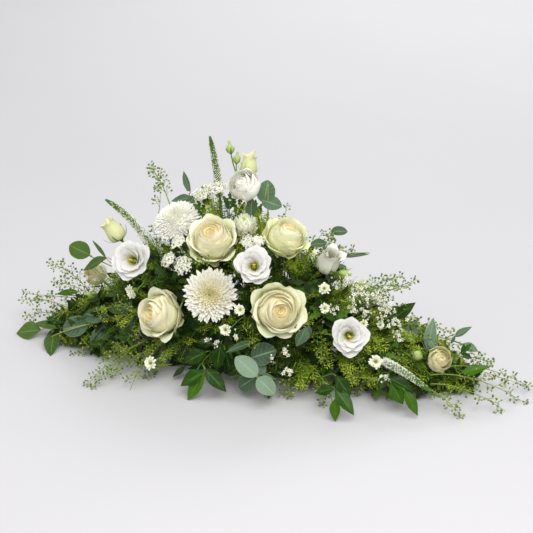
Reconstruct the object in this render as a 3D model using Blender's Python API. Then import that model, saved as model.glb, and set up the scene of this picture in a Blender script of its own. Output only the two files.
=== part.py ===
"""Pyramid funeral arrangement: cut flowers and foliage in a floral foam brick
that stands in a low tray, trailing to a point at each end. Metres, +Z up."""
import math

import bmesh
import bpy
import numpy as np

for old in list(bpy.data.objects):
    bpy.data.objects.remove(old, do_unlink=True)

# ------------------------------------------------------------------ layout
# Lengths in this block are millimetres. +X is the viewer's right along the
# arrangement, -Y is its front and +Z is up. The origin is the middle of the
# tray's underside.
TRAY_LENGTH, TRAY_WIDTH, TRAY_HEIGHT, TRAY_WALL, TRAY_LIP = 240.0, 120.0, 40.0, 2.4, 3.0
FOAM_LENGTH, FOAM_WIDTH, FOAM_LOW, FOAM_HIGH = 230.0, 110.0, 2.7, 82.7
TAPE_X, TAPE_WIDTH, TAPE_THICK = 58.0, 12.0, 0.8
STEM_DEPTH = 34.0          # how far a stem goes into the foam
STRAIGHT = 8.0             # straight stretch just outside the foam

# Outline of each flower head: (distance along its axis, radius), as shares
# of the head's radius, from the stem to the top.
PROFILE = {
    "rose": ((-0.92, 0.12), (-0.78, 0.38), (-0.35, 0.82), (0.05, 0.98), (0.26, 1.00), (0.44, 0.66), (0.52, 0.26)),
    "chrysanthemum": ((-0.56, 0.12), (-0.46, 0.42), (-0.22, 0.90), (0.00, 1.00), (0.20, 0.84), (0.38, 0.44)),
    "lisianthus": ((-0.98, 0.12), (-0.80, 0.30), (-0.25, 0.62), (0.14, 0.94), (0.30, 1.00), (0.34, 0.60), (0.26, 0.20)),
    "half_open": ((-1.15, 0.14), (-0.90, 0.60), (-0.20, 1.00), (0.60, 0.86), (1.05, 0.42)),
    "bud": ((-1.30, 0.25), (-0.80, 0.80), (0.00, 1.00), (0.90, 0.70), (1.45, 0.22)),
    "small": ((-0.80, 0.14), (-0.45, 0.45), (0.00, 1.00), (0.25, 0.95), (0.40, 0.40)),
    "umbel": ((-0.75, 0.10), (-0.35, 0.55), (0.00, 1.00), (0.18, 0.80), (0.26, 0.35)),
}
STEM_RADIUS = {
    "rose": 3.2, "chrysanthemum": 2.9, "lisianthus": 2.2, "half_open": 2.0, "small": 1.6, "umbel": 1.6,
    "veronica": 1.8, "eucalyptus": 2.0, "ruscus": 1.8, "thlaspi": 1.5, "fern": 1.7,
}

# name, kind of head, middle of the head, facing, radius,
# side heads: (kind, middle, facing, radius, share of the stem where it branches)
FLOWERS = (
    ("rose_top", "rose", (-34, -80, 247), (0.06, -0.58, 0.81), 42, ()),
    ("rose_left", "rose", (-117, -120, 118), (-0.40, -0.85, 0.35), 42, ()),
    ("rose_right", "rose", (96, -140, 161), (0.42, -0.82, 0.38), 43, ()),
    ("rose_upper_right", "rose", (82, -50, 254), (0.36, -0.30, 0.88), 38, ()),
    ("rose_back_left", "rose", (-85, 88, 168), (-0.35, 0.78, 0.52), 40, ()),
    ("rose_back_right", "rose", (78, 98, 145), (0.35, 0.80, 0.48), 41, ()),
    ("chrysanthemum_front", "chrysanthemum", (-23, -125, 166), (0.18, -0.89, 0.42), 47, ()),
    ("chrysanthemum_upper_left", "chrysanthemum", (-116, -20, 244), (-0.18, -0.56, 0.81), 43, ()),
    ("chrysanthemum_small", "chrysanthemum", (7, -35, 256), (0.05, -0.45, 0.89), 20, ()),
    ("chrysanthemum_back", "chrysanthemum", (-4, 104, 172), (0.05, 0.80, 0.60), 40, ()),
    ("lisianthus_top", "lisianthus", (-1, -15, 317), (-0.25, -0.50, 0.83), 26,
     (("half_open", (-7, 30, 337), (0.05, 0.10, 0.99), 15, 0.72),
      ("bud", (-32, 10, 368), (-0.15, 0.00, 0.99), 6.5, 0.66),
      ("bud", (-18, 2, 354), (0.12, 0.00, 0.99), 6.0, 0.80))),
    ("lisianthus_upper_left", "lisianthus", (-180, -72, 187), (0.00, -0.90, 0.43), 33,
     (("small", (-168, -98, 143), (-0.55, -0.75, -0.20), 14, 0.55),)),
    ("lisianthus_left_bud", "half_open", (-233, -10, 211), (-0.55, -0.15, 0.82), 18, ()),
    ("lisianthus_centre", "lisianthus", (46, -115, 221), (0.20, -0.85, 0.50), 31, ()),
    ("lisianthus_right_front", "lisianthus", (204, -110, 118), (0.30, -0.87, 0.38), 31, ()),
    ("lisianthus_upper_right", "lisianthus", (138, 5, 195), (0.42, -0.40, 0.82), 21,
     (("bud", (168, -14, 182), (0.92, -0.30, 0.10), 7, 0.78),)),
    ("lisianthus_right_end", "lisianthus", (338, -45, 66), (0.50, -0.62, 0.60), 21,
     (("bud", (304, -62, 76), (-0.30, -0.75, 0.58), 8, 0.76),)),
    ("lisianthus_far_left", "lisianthus", (-294, 42, 104), (-0.55, -0.35, 0.76), 21,
     (("bud", (-284, 4, 80), (-0.92, -0.35, 0.15), 7, 0.72),)),
    ("lisianthus_right_rear", "lisianthus", (202, 40, 117), (0.55, 0.10, 0.83), 19, ()),
    ("spray_centre", "small", (36, -152, 159), (0.10, -0.88, 0.46), 10,
     (("small", (11, -152, 121), (-0.10, -0.92, 0.36), 11, 0.70),)),
    ("spray_right", "small", (148, -60, 172), (0.30, -0.60, 0.74), 11,
     (("small", (158, -92, 152), (0.45, -0.80, 0.40), 9, 0.72),)),
    ("spray_front_left", "small", (-113, -165, 51), (-0.20, -0.86, 0.47), 12, ()),
    ("spray_right_front", "small", (248, -112, 80), (0.30, -0.85, 0.42), 12,
     (("small", (262, -118, 52), (0.30, -0.92, 0.20), 10, 0.74),)),
    ("ammi_left", "umbel", (-76, -104, 203), (-0.15, -0.78, 0.60), 15,
     (("umbel", (-104, -98, 206), (-0.50, -0.60, 0.62), 13, 0.80), ("umbel", (-92, -82, 232), (-0.30, -0.40, 0.86), 12, 0.72))),
    ("ammi_top", "umbel", (-50, 2, 302), (0.00, -0.30, 0.95), 15,
     (("umbel", (-76, -2, 288), (-0.40, -0.30, 0.86), 14, 0.80),)),
    ("ammi_centre", "umbel", (26, -74, 243), (0.05, -0.55, 0.83), 12,
     (("umbel", (46, -84, 252), (0.30, -0.50, 0.81), 8, 0.82),)),
    ("waxflower_right", "small", (193, 0, 150), (0.35, -0.30, 0.88), 9,
     (("small", (220, 0, 134), (0.65, -0.20, 0.73), 8, 0.82), ("small", (190, -48, 136), (0.20, -0.75, 0.63), 8, 0.74),
      ("small", (214, -58, 118), (0.45, -0.75, 0.48), 8, 0.66), ("small", (236, -34, 108), (0.75, -0.45, 0.48), 8, 0.60))),
)

# name, kind, tip, direction at the tip, side of the foam it goes in ("" for any)
GREENS = (
    ("veronica_top", "veronica", (-70, 20, 382), (-0.22, 0.00, 0.98), ""),
    ("veronica_left", "veronica", (-250, 0, 260), (-0.90, 0.10, 0.42), ""),
    ("veronica_right", "veronica", (337, -110, 40), (0.84, -0.05, -0.54), ""),
    ("eucalyptus_top_right", "eucalyptus", (40, -14, 322), (0.05, -0.10, 0.99), ""),
    ("eucalyptus_top_left", "eucalyptus", (-112, 26, 288), (-0.20, 0.05, 0.97), ""),
    ("eucalyptus_upper_right", "eucalyptus", (200, 32, 204), (0.90, 0.15, -0.05), ""),
    ("eucalyptus_right_trail", "eucalyptus", (384, 8, 66), (0.93, 0.05, -0.35), "right"),
    ("eucalyptus_front", "eucalyptus", (72, -150, 18), (0.12, -0.25, -0.96), "front"),
    ("eucalyptus_left", "eucalyptus", (-335, -62, 22), (-0.85, 0.10, -0.50), "left"),
    ("eucalyptus_far_left", "eucalyptus", (-404, -14, 9), (-0.95, -0.05, -0.20), "left"),
    ("eucalyptus_upper_left", "eucalyptus", (-300, 16, 150), (-0.90, 0.05, 0.30), "left"),
    ("ruscus_front_left", "ruscus", (-46, -172, 8), (-0.05, -0.35, -0.93), "front"),
    ("ruscus_front_right", "ruscus", (200, -176, 7), (0.30, -0.55, -0.75), "front"),
    ("ruscus_right_front", "ruscus", (314, -118, 8), (0.75, -0.35, -0.50), "right"),
    ("ruscus_right_end", "ruscus", (400, -26, 30), (0.93, -0.15, -0.30), "right"),
    ("ruscus_left", "ruscus", (-346, 24, 62), (-0.92, 0.05, -0.20), "left"),
    ("ruscus_back", "ruscus", (20, 152, 40), (0.05, 0.75, -0.60), "back"),
    ("thlaspi_top_left", "thlaspi", (-160, 4, 312), (-0.45, -0.05, 0.88), ""),
    ("thlaspi_left", "thlaspi", (-412, 34, 52), (-0.90, 0.05, -0.05), "left"),
    ("thlaspi_front_left", "thlaspi", (-212, -172, 12), (-0.50, -0.55, -0.60), "front"),
    ("thlaspi_upper_right", "thlaspi", (262, 34, 156), (0.85, 0.10, 0.35), ""),
    ("thlaspi_right_end", "thlaspi", (460, 2, 18), (0.95, 0.00, -0.20), ""),
    ("fern_left_low", "fern", (-300, -28, 40), (-0.90, -0.15, -0.30), "left"),
    ("fern_right_low", "fern", (352, 40, 34), (0.93, 0.10, -0.30), ""),
    ("fern_front", "fern", (30, -140, 30), (0.00, -0.80, -0.55), "front"),
    ("fern_upper_left", "fern", (-200, 30, 196), (-0.75, 0.10, 0.60), ""),
    ("fern_upper_right", "fern", (150, 44, 206), (0.60, 0.20, 0.72), ""),
    ("fern_back_left", "fern", (-130, 138, 60), (-0.45, 0.75, -0.40), "back"),
    ("fern_back_right", "fern", (170, 132, 56), (0.55, 0.70, -0.40), "back"),
)


def unit(v):
    v = np.asarray(v, float)
    return v / np.linalg.norm(v)


def bezier(p0, p1, p2, p3, count):
    t = np.linspace(0.0, 1.0, count)[:, None]
    return (1 - t) ** 3 * p0 + 3 * (1 - t) ** 2 * t * p1 + 3 * (1 - t) * t ** 2 * p2 + t ** 3 * p3


def resample(points, step):
    """Points along a polyline, about a step apart."""
    gaps = np.linalg.norm(np.diff(points, axis=0), axis=1)
    along = np.concatenate([[0.0], np.cumsum(gaps)])
    count = max(2, int(round(along[-1] / step)) + 1)
    want = np.linspace(0.0, along[-1], count)
    return np.stack([np.interp(want, along, points[:, k]) for k in range(3)], axis=1)


def foam_entries():
    """Places on the foam where a stem can go in: point, outward normal, side."""
    out = []
    for x in np.arange(-102.0, 103.0, 12.0):
        if abs(abs(x) - TAPE_X) < TAPE_WIDTH / 2 + 5:
            continue
        for y in np.arange(-42.0, 43.0, 12.0):
            out.append(((x, y, FOAM_HIGH), (0, 0, 1), "top"))
        for z in (54.0, 66.0):
            out.append(((x, -FOAM_WIDTH / 2, z), (0, -1, 0), "front"))
            out.append(((x, FOAM_WIDTH / 2, z), (0, 1, 0), "back"))
    for y in np.arange(-42.0, 43.0, 10.5):
        for z in (53.0, 63.0, 73.0):
            out.append(((-FOAM_LENGTH / 2, y, z), (-1, 0, 0), "left"))
            out.append(((FOAM_LENGTH / 2, y, z), (1, 0, 0), "right"))
    return [(np.array(p, float), np.array(n, float), side) for p, n, side in out]


def head_gap(points, heads, spare):
    """True where no point is inside one of the heads, each made larger by spare."""
    for middle, axis, radius, kind in heads:
        rel = points - middle
        s = rel @ axis
        rho = np.linalg.norm(rel - s[:, None] * axis, axis=1)
        prof = np.array(PROFILE[kind]) * radius
        order = np.argsort(prof[:, 0])
        edge = np.interp(s, prof[order, 0], prof[order, 1], left=0.0, right=0.0)
        lo, hi = prof[:, 0].min() - spare, prof[:, 0].max() + spare
        inside = (s > lo) & (s < hi) & (rho < np.maximum(edge, 0.15 * radius) + spare)
        if inside.any():
            return False
    return True


def box_gap(points, spare):
    """True where no point is inside the foam, the tray or the tapes."""
    x, y, z = np.abs(points[:, 0]), np.abs(points[:, 1]), points[:, 2]
    foam = (x < FOAM_LENGTH / 2 + spare) & (y < FOAM_WIDTH / 2 + spare) & (z < FOAM_HIGH + spare)
    tray = (x < TRAY_LENGTH / 2 + TRAY_LIP + spare) & (y < TRAY_WIDTH / 2 + TRAY_LIP + spare) & (z < TRAY_HEIGHT + spare)
    tape = (np.abs(x - TAPE_X) < TAPE_WIDTH / 2 + spare) & (y < TRAY_WIDTH / 2 + TRAY_LIP + 1.5 + spare) & (z < FOAM_HIGH + 1.5 + spare)
    return not (foam | tray | tape).any()


def head_of(kind, middle, facing, radius):
    return (np.array(middle, float), unit(facing), float(radius), kind)


def neck_of(head):
    """Where the stem meets a head."""
    middle, axis, radius, kind = head
    return middle + axis * PROFILE[kind][0][0] * radius


def lay_out():
    """Each stem's route, so that no stem runs into another, a head or the tray."""
    heads = {}
    for name, kind, middle, facing, radius, sides in FLOWERS:
        heads[name] = [head_of(kind, middle, facing, radius)] + [head_of(*side[:4]) for side in sides]
    entries = foam_entries()
    stems, used, placed, placed_radius = {}, set(), np.zeros((0, 3)), np.zeros(0)
    centre = np.array([0.0, 0.0, 20.0])
    jobs = [(name, kind, neck_of(heads[name][0]), heads[name][0][1], "", sides) for name, kind, _m, _f, _r, sides in FLOWERS]
    jobs += [(name, kind, np.array(tip, float), unit(way), side, ()) for name, kind, tip, way, side in GREENS]
    for name, kind, end, way, wanted, sides in jobs:
        r = STEM_RADIUS[kind]
        own = heads.get(name, [])
        others = [h for other, group in heads.items() if other != name for h in group]
        options = []
        for index, (q, normal, side) in enumerate(entries):
            if index in used or (wanted and side != wanted):
                continue
            span = np.linalg.norm(end - q)
            straight = (end - q) / span
            radial = unit(q - centre)
            for mix in (0.35, 0.6, 0.85):
                d0 = unit(mix * (0.5 * normal + 0.5 * radial) + (1 - mix) * straight)
                lean = d0 @ normal
                if lean < 0.62:
                    continue
                for a in (0.30, 0.50):
                    for b in (0.25, 0.45):
                        cost = span / 100 + 1.2 * (1 - d0 @ straight) + 0.8 * (1 - way @ straight) * (0.5 - b) + abs(a - 0.4) + abs(mix - 0.6) * 0.5 + (0.35 if side == "top" and end[2] < 110 else 0)
                        options.append((cost, index, d0, a, b))
        options.sort(key=lambda o: (round(o[0], 6), o[1]))
        chosen = None
        for cost, index, d0, a, b in options:
            q, normal, side = entries[index]
            inner = q - d0 * STEM_DEPTH
            if (np.abs(inner[:2]) > (FOAM_LENGTH / 2 - 7, FOAM_WIDTH / 2 - 7)).any() or inner[2] < FOAM_LOW + 7 or inner[2] > FOAM_HIGH - 7:
                continue
            out = q + d0 * STRAIGHT
            span = np.linalg.norm(end - out)
            curve = bezier(out, out + d0 * a * span, end - way * b * span, end, 24)
            outer = resample(curve, 4.0)
            whole = np.concatenate([resample(np.array([inner, out]), 4.0), outer[1:]])
            if outer[:, 2].min() < r + 1.0 or not box_gap(outer[1:], r + 1.5):
                continue
            if not head_gap(outer, others, r + 3.2):
                continue
            if own[1:] and not head_gap(outer, own[1:], r + 1.5):
                continue
            if len(placed):
                gap = np.linalg.norm(whole[:, None] - placed[None], axis=2) - placed_radius[None]
                if gap.min() < r + 2.2:
                    continue
            chosen = (index, inner, q, out, curve, whole)
            break
        if chosen is None:
            raise ValueError("no clear way for " + name)
        index, inner, q, out, curve, whole = chosen
        used.add(index)
        stems[name] = dict(kind=kind, radius=r, inner=inner, entry=q, out=out, curve=curve, whole=whole, heads=own, branches=[])
        before = len(placed)
        twigs = []
        placed = np.concatenate([placed, whole])
        placed_radius = np.concatenate([placed_radius, np.full(len(whole), r)])
        for side_entry, head in zip(sides, own[1:]):
            neck, axis = neck_of(head), head[1]
            best = None
            for shift in (0.0, -0.06, 0.06, -0.12, 0.12, -0.18, 0.18, -0.25, -0.32, -0.4):
                share = min(0.92, side_entry[4] + shift)
                at = int(round(share * 23))
                start, tangent = curve[at], unit(curve[min(at + 1, 23)] - curve[max(at - 1, 0)])
                span = np.linalg.norm(neck - start)
                for a, weight in ((0.35, 1.0), (0.2, 1.0), (0.5, 1.0), (0.35, 0.4), (0.2, 0.3), (0.3, 0.0)):
                    for b in (0.3, 0.15, 0.45):
                        twig = bezier(start, start + unit(weight * tangent + 0.6 * unit(neck - start)) * a * span, neck - axis * b * span, neck, 10)
                        fine = resample(twig, 3.0)
                        mates = [h for h in own if h is not head] + others
                        if fine[:, 2].min() < 3.0 or not box_gap(fine, 2.5) or not head_gap(fine[2:], mates, 2.2):
                            continue
                        away = np.linalg.norm(fine - start, axis=1)
                        far = fine[away > 14.0]
                        if not len(far):
                            far = fine[-1:]
                        gap = np.linalg.norm(far[:, None] - whole[None], axis=2)
                        if gap.min() < r + 1.9:
                            continue
                        gap = np.linalg.norm(fine[:, None] - placed[None, :before], axis=2) - placed_radius[None, :before]
                        if before and gap.min() < 3.0:
                            continue
                        if twigs and min(np.linalg.norm(far[:, None] - t[None], axis=2).min() for t in twigs) < 4.0:
                            continue
                        best = (at, twig, fine, far)
                        break
                    if best:
                        break
                if best:
                    break
            if best is None:
                raise ValueError("no clear twig on " + name)
            at, twig, fine, far = best
            stems[name]["branches"].append((at, twig, head))
            twigs.append(far)
            placed = np.concatenate([placed, far])
            placed_radius = np.concatenate([placed_radius, np.full(len(far), 1.2)])
    return stems


# ------------------------------------------------------------------ solids
HOLE_SPARE = 0.45          # how much wider a hole in the foam is than its stem
LEAF_THICK = 1.2

# Leaves: length, width, distance between pairs, first pair (from the foam),
# angle to the stem, and the blade's outline as (share of length, share of width)
LEAF = {
    "eucalyptus": (37.0, 33.0, 31.0, 46.0, 62.0, ((0.25, 0.80), (0.70, 0.94), (1.0, 0.30))),
    "ruscus": (40.0, 16.0, 30.0, 48.0, 48.0, ((0.42, 1.0), (1.0, 0.12))),
    "thlaspi": (40.0, 6.0, 27.0, 60.0, 42.0, ((0.60, 0.50), (1.0, 1.0))),
    "fern": (58.0, 19.0, 27.0, 26.0, 50.0, ((0.40, 1.0), (1.0, 0.14))),
}
COLOURS = {
    "rose": (0.86, 0.80, 0.60), "chrysanthemum": (0.90, 0.90, 0.82), "lisianthus": (0.92, 0.93, 0.88),
    "half_open": (0.72, 0.78, 0.50), "small": (0.90, 0.91, 0.84), "umbel": (0.90, 0.93, 0.85),
    "veronica": (0.45, 0.58, 0.30), "eucalyptus": (0.21, 0.33, 0.25), "ruscus": (0.07, 0.21, 0.04),
    "thlaspi": (0.26, 0.42, 0.10), "fern": (0.10, 0.24, 0.05), "tray": (0.03, 0.09, 0.04),
    "foam": (0.05, 0.16, 0.05), "tape": (0.10, 0.26, 0.10),
}
ROUGHNESS = {"tray": 0.45, "foam": 0.95, "tape": 0.5, "ruscus": 0.35, "eucalyptus": 0.6}


def material(kind):
    mat = bpy.data.materials.get(kind) or bpy.data.materials.new(kind)
    mat.use_nodes = True
    shader = mat.node_tree.nodes["Principled BSDF"]
    shader.inputs["Base Color"].default_value = (*COLOURS[kind], 1.0)
    shader.inputs["Roughness"].default_value = ROUGHNESS.get(kind, 0.55)
    shader.inputs["Metallic"].default_value = 0.0
    return mat


def make_object(name, points, faces, kind):
    mesh = bpy.data.meshes.new(name)
    mesh.from_pydata([tuple(float(c) * 0.001 for c in p) for p in points], [], faces)
    mesh.update()
    mesh.materials.append(material(kind))
    mesh.shade_smooth()
    mesh.set_sharp_from_angle(angle=math.radians(38))
    obj = bpy.data.objects.new(name, mesh)
    bpy.context.scene.collection.objects.link(obj)
    return obj


class Growth:
    """One closed surface, grown ring by ring: a stem, its head, twigs and leaves."""

    def __init__(self):
        self.points, self.faces = [], []

    def ring(self, points):
        first = len(self.points)
        self.points.extend(np.asarray(p, float) for p in points)
        return list(range(first, first + len(points)))

    def bridge(self, a, b, skip=()):
        n = len(a)
        for i in range(n):
            if i not in skip:
                self.faces.append((a[i], a[(i + 1) % n], b[(i + 1) % n], b[i]))

    def widen(self, a, b):
        """Joins a ring of four points to one of eight."""
        for j in range(4):
            self.faces.append((a[j], a[(j + 1) % 4], b[(2 * j + 2) % 8], b[2 * j + 1]))
            self.faces.append((a[j], b[2 * j + 1], b[2 * j]))

    def sweep(self, quad, centres, tangents, across, sizes):
        """Grows a four-sided tube out of a face. sizes are (half width, half height)."""
        last, w = quad, across
        for c, t, (hw, hm) in zip(centres, tangents, sizes):
            t = unit(t)
            w = unit(w - t * (w @ t))
            m = np.cross(t, w)
            new = self.ring([c - w * hw - m * hm, c + w * hw - m * hm, c + w * hw + m * hm, c - w * hw + m * hm])
            self.bridge(last, new)
            last = new
        return last, w


def side_axes(t):
    level = np.cross(t, (0.0, 0.0, 1.0))
    if np.linalg.norm(level) < 0.25:
        level = np.cross(t, (0.0, 1.0, 0.0))
    return unit(level)


def head_rings(growth, last, head, u, sides):
    middle, axis, radius, kind = head
    u = unit(u - axis * (u @ axis))
    w = np.cross(axis, u)
    for s, share in PROFILE[kind]:
        angles = [2 * math.pi * (k + 0.5) / sides for k in range(sides)]
        new = growth.ring([middle + axis * s * radius + share * radius * (math.cos(g) * u + math.sin(g) * w) for g in angles])
        growth.bridge(last, new)
        last = new
    growth.faces.append(tuple(last))


class Space:
    """What has been built so far, as points with a radius, to keep leaves clear of it."""

    def __init__(self, stems):
        self.heads = [(name, h) for name, s in stems.items() for h in s["heads"]]
        self.stem_points = {name: [s["whole"]] for name, s in stems.items()}
        self.stem_radius = {name: s["radius"] for name, s in stems.items()}
        for name, s in stems.items():
            for _at, twig, _head in s["branches"]:
                self.stem_points[name].append(resample(twig, 4.0))
        self.blades = {}

    def clear(self, name, points, node, low):
        if low < 0.7 or not box_gap(points, 2.2):
            return False
        if not head_gap(points, [h for _n, h in self.heads], 2.6):
            return False
        for other, groups in self.stem_points.items():
            for group in groups:
                if other == name:
                    group = group[np.linalg.norm(group - node, axis=1) > 11.0]
                    if not len(group):
                        continue
                if np.linalg.norm(points[:, None] - group[None], axis=2).min() < self.stem_radius[other] + 2.4:
                    return False
        for other, blades in self.blades.items():
            for blade in blades:
                far = points
                if other == name:
                    far = points[np.linalg.norm(points - node, axis=1) > 9.0]
                if np.linalg.norm(far[:, None] - blade[None], axis=2).min() < (4.0 if other == name else 5.4):
                    return False
        return True


def leaf_points(start, axis, across, length, width, outline):
    rows = []
    ts = [0.0] + [t for t, _w in outline]
    ws = [0.12] + [w for _t, w in outline]
    for t in np.linspace(0.15, 1.0, max(4, int(length / 6) + 1)):
        half = 0.5 * width * np.interp(t, ts, ws)
        count = 2 * int(math.ceil(half / 6.0)) + 1
        for k in np.linspace(-1.0, 1.0, count):
            rows.append(start + axis * length * t + across * half * k)
    return np.array(rows)


def build_stem(name, stem, space):
    kind, r = stem["kind"], stem["radius"]
    line = np.concatenate([[stem["inner"]], [stem["entry"]], stem["curve"]])
    gaps = np.linalg.norm(np.diff(line, axis=0), axis=1)
    along = np.concatenate([[0.0], np.cumsum(gaps)])
    total = along[-1]
    at = lambda d: np.array([np.interp(d, along, line[:, k]) for k in range(3)])
    leafy = kind in LEAF
    nodes = []
    if leafy:
        length, width, spacing, first, lean, outline = LEAF[kind]
        d = along[2] + first
        while d < total - 0.35 * length:
            nodes.append((d, None))
            d += spacing
    for index, twig, head in stem["branches"]:
        nodes.append((along[2 + index], (twig, head)))
    nodes.sort(key=lambda n: n[0])
    cuts = [0.0, along[1], along[2]]
    for d, _what in nodes:
        cuts += [d - 2.4, d + 2.4]
    fixed = sorted(cuts)
    for d in np.linspace(along[2], total - 5.0, max(3, int((total - along[2]) / 26.0) + 1))[1:]:
        if min(abs(d - c) for c in cuts) > 9.0 or d > total - 5.1:
            fixed.append(d)
    fixed = sorted(fixed)
    if not stem["heads"]:
        fixed.append(total)
    fixed = [d for k, d in enumerate(fixed) if k == 0 or d - fixed[k - 1] > 0.8]
    sides = 4 if leafy else (8 if stem["heads"] and stem["heads"][0][2] > 24 else 6)
    tangent = lambda d: unit(at(min(d + 2.0, total)) - at(max(d - 2.0, 0.0)))
    straight = unit(stem["entry"] - stem["inner"])
    growth, rings, last, u = Growth(), [], None, side_axes(straight)
    for k, d in enumerate(fixed):
        t = straight if d <= along[2] + 0.01 else tangent(d)
        u = unit(u - t * (u @ t))
        w = np.cross(t, u)
        size = r
        if kind == "veronica" and total - d < 95.0:
            size = 1.6 + 4.6 * min(1.0, (total - d) / 60.0)
        elif leafy:
            size = r * (1.0 - 0.45 * max(0.0, (d - along[2]) / (total - along[2])))
        new = growth.ring([at(d) + size * (math.cos(g) * u + math.sin(g) * w) for g in [2 * math.pi * (j + 0.5) / sides for j in range(sides)]])
        rings.append((d, new, u, t, size))
        if last is not None:
            growth.bridge(last, new)
        else:
            growth.faces.append(tuple(reversed(new)))
        last = new
    if stem["heads"]:
        head_rings(growth, last, stem["heads"][0], u, sides)
    else:
        growth.faces.append(tuple(last))

    def side_quad(d, way):
        """The side face at this distance that looks most the given way."""
        k = max(i for i, ring in enumerate(rings) if ring[0] <= d)
        _d, a, u0, t0, size = rings[k]
        b = rings[k + 1][1]
        w0 = np.cross(t0, u0)
        best = max(range(sides), key=lambda i: (math.cos(2 * math.pi * (i + 1) / sides) * u0 + math.sin(2 * math.pi * (i + 1) / sides) * w0) @ way)
        g = 2 * math.pi * (best + 1) / sides
        out = math.cos(g) * u0 + math.sin(g) * w0
        quad = [a[best], a[(best + 1) % sides], b[(best + 1) % sides], b[best]]
        return quad, out, t0, size

    def open_face(quad):
        key = set(quad)
        for i, face in enumerate(growth.faces):
            if len(face) == 4 and set(face) == key:
                del growth.faces[i]
                return True
        return False

    count = 0
    for d, what in nodes:
        if what is not None:
            twig, head = what
            quad, out, t0, size = side_quad(d, unit(twig[3] - twig[0]))
            if not open_face(quad):
                continue
            across = np.cross(t0, out)
            centres = [twig[i] for i in (2, 4, 6, 8)]
            if np.linalg.norm(centres[0] - twig[0]) < size + 2.0:
                centres = [twig[i] for i in (3, 5, 7, 8)]
            ways = [twig[min(i + 1, 9)] - twig[max(i - 1, 0)] for i in ((2, 4, 6, 8) if len(centres) == 4 else (3, 5, 7, 8))]
            last, w = growth.sweep(quad, centres, ways, across, [(1.0, 1.0)] * len(centres))
            middle, axis, radius, hkind = head
            wide = radius >= 10.0
            w = unit(w - axis * (w @ axis))
            m = np.cross(axis, w)
            first = True
            for s, share in PROFILE[hkind]:
                rr, c = share * radius, middle + axis * s * radius
                if not wide or first:
                    q = max(rr, 1.0) * 0.80
                    new = growth.ring([c - w * q - m * q, c + w * q - m * q, c + w * q + m * q, c - w * q + m * q])
                    growth.bridge(last, new)
                else:
                    new = growth.ring([c + rr * (math.cos(math.radians(225 + 45 * k)) * w + math.sin(math.radians(225 + 45 * k)) * m) for k in range(8)])
                    if len(last) == 4:
                        growth.widen(last, new)
                    else:
                        growth.bridge(last, new)
                last, first = new, False
            growth.faces.append(tuple(last))
            continue
        length, width, spacing, first, lean, outline = LEAF[kind]
        count += 1
        k = max(i for i, ring in enumerate(rings) if ring[0] <= d)
        u0, t0 = rings[k][2], rings[k][3]
        w0 = np.cross(t0, u0)
        ways = (u0, -u0) if (count % 3 or kind == "fern") else (w0, -w0)
        shrink = 1.0 - 0.30 * (d - along[2]) / (total - along[2])
        for way in ways:
            quad, out, t0, size = side_quad(d, way)
            across = np.cross(t0, out)
            node = at(d)
            done = False
            for scale in (1.0, 0.82, 0.65):
                for turn in (0.0, 18.0, -18.0, 34.0, -30.0):
                    for swing in (0.0, 22.0, -22.0):
                        g = math.radians(lean + turn)
                        axis = math.cos(g) * t0 + math.sin(g) * out
                        axis = unit(axis + math.tan(math.radians(swing)) * across)
                        wide = unit(across - axis * (across @ axis))
                        l, wd = length * scale * shrink, width * scale * shrink
                        start = node + out * size * 0.8
                        samples = leaf_points(start, axis, wide, l, wd, outline)
                        if space.clear(name, samples, node, samples[:, 2].min() - LEAF_THICK * 0.6):
                            done = True
                            break
                    if done:
                        break
                if done:
                    break
            if not done or not open_face(quad):
                continue
            space.blades.setdefault(name, []).append(samples)
            half = LEAF_THICK / 2
            growth_last, _w = growth.sweep(
                quad, [start + axis * l * t for t, _s in outline], [axis] * len(outline), wide,
                [(max(0.5 * wd * s, 0.5), half) for _t, s in outline])
            growth.faces.append(tuple(growth_last))
    return growth


def rounded_rectangle(length, width, radius, z, steps=3):
    out = []
    for cx, cy, a0 in ((1, 1, 0), (-1, 1, 90), (-1, -1, 180), (1, -1, 270)):
        for k in range(steps + 1):
            g = math.radians(a0 + 90.0 * k / steps)
            out.append((cx * (length / 2 - radius) + radius * math.cos(g), cy * (width / 2 - radius) + radius * math.sin(g), z))
    return out


def build_tray():
    growth = Growth()
    l, w, h, t, lip = TRAY_LENGTH, TRAY_WIDTH, TRAY_HEIGHT, TRAY_WALL, TRAY_LIP
    loops = (
        (l - 4, w - 4, 7.0, 0.0), (l, w, 9.0, 2.0), (l, w, 9.0, h - 3.0), (l + 2 * lip, w + 2 * lip, 11.0, h - 1.8),
        (l + 2 * lip, w + 2 * lip, 11.0, h), (l - 2 * t, w - 2 * t, 6.0, h), (l - 2 * t, w - 2 * t, 6.0, t),
    )
    last = None
    for a, b, radius, z in loops:
        new = growth.ring(rounded_rectangle(a, b, radius, z))
        if last is None:
            growth.faces.append(tuple(reversed(new)))
        else:
            growth.bridge(last, new)
        last = new
    growth.faces.append(tuple(last))
    return make_object("tray", growth.points, growth.faces, "tray")


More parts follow.
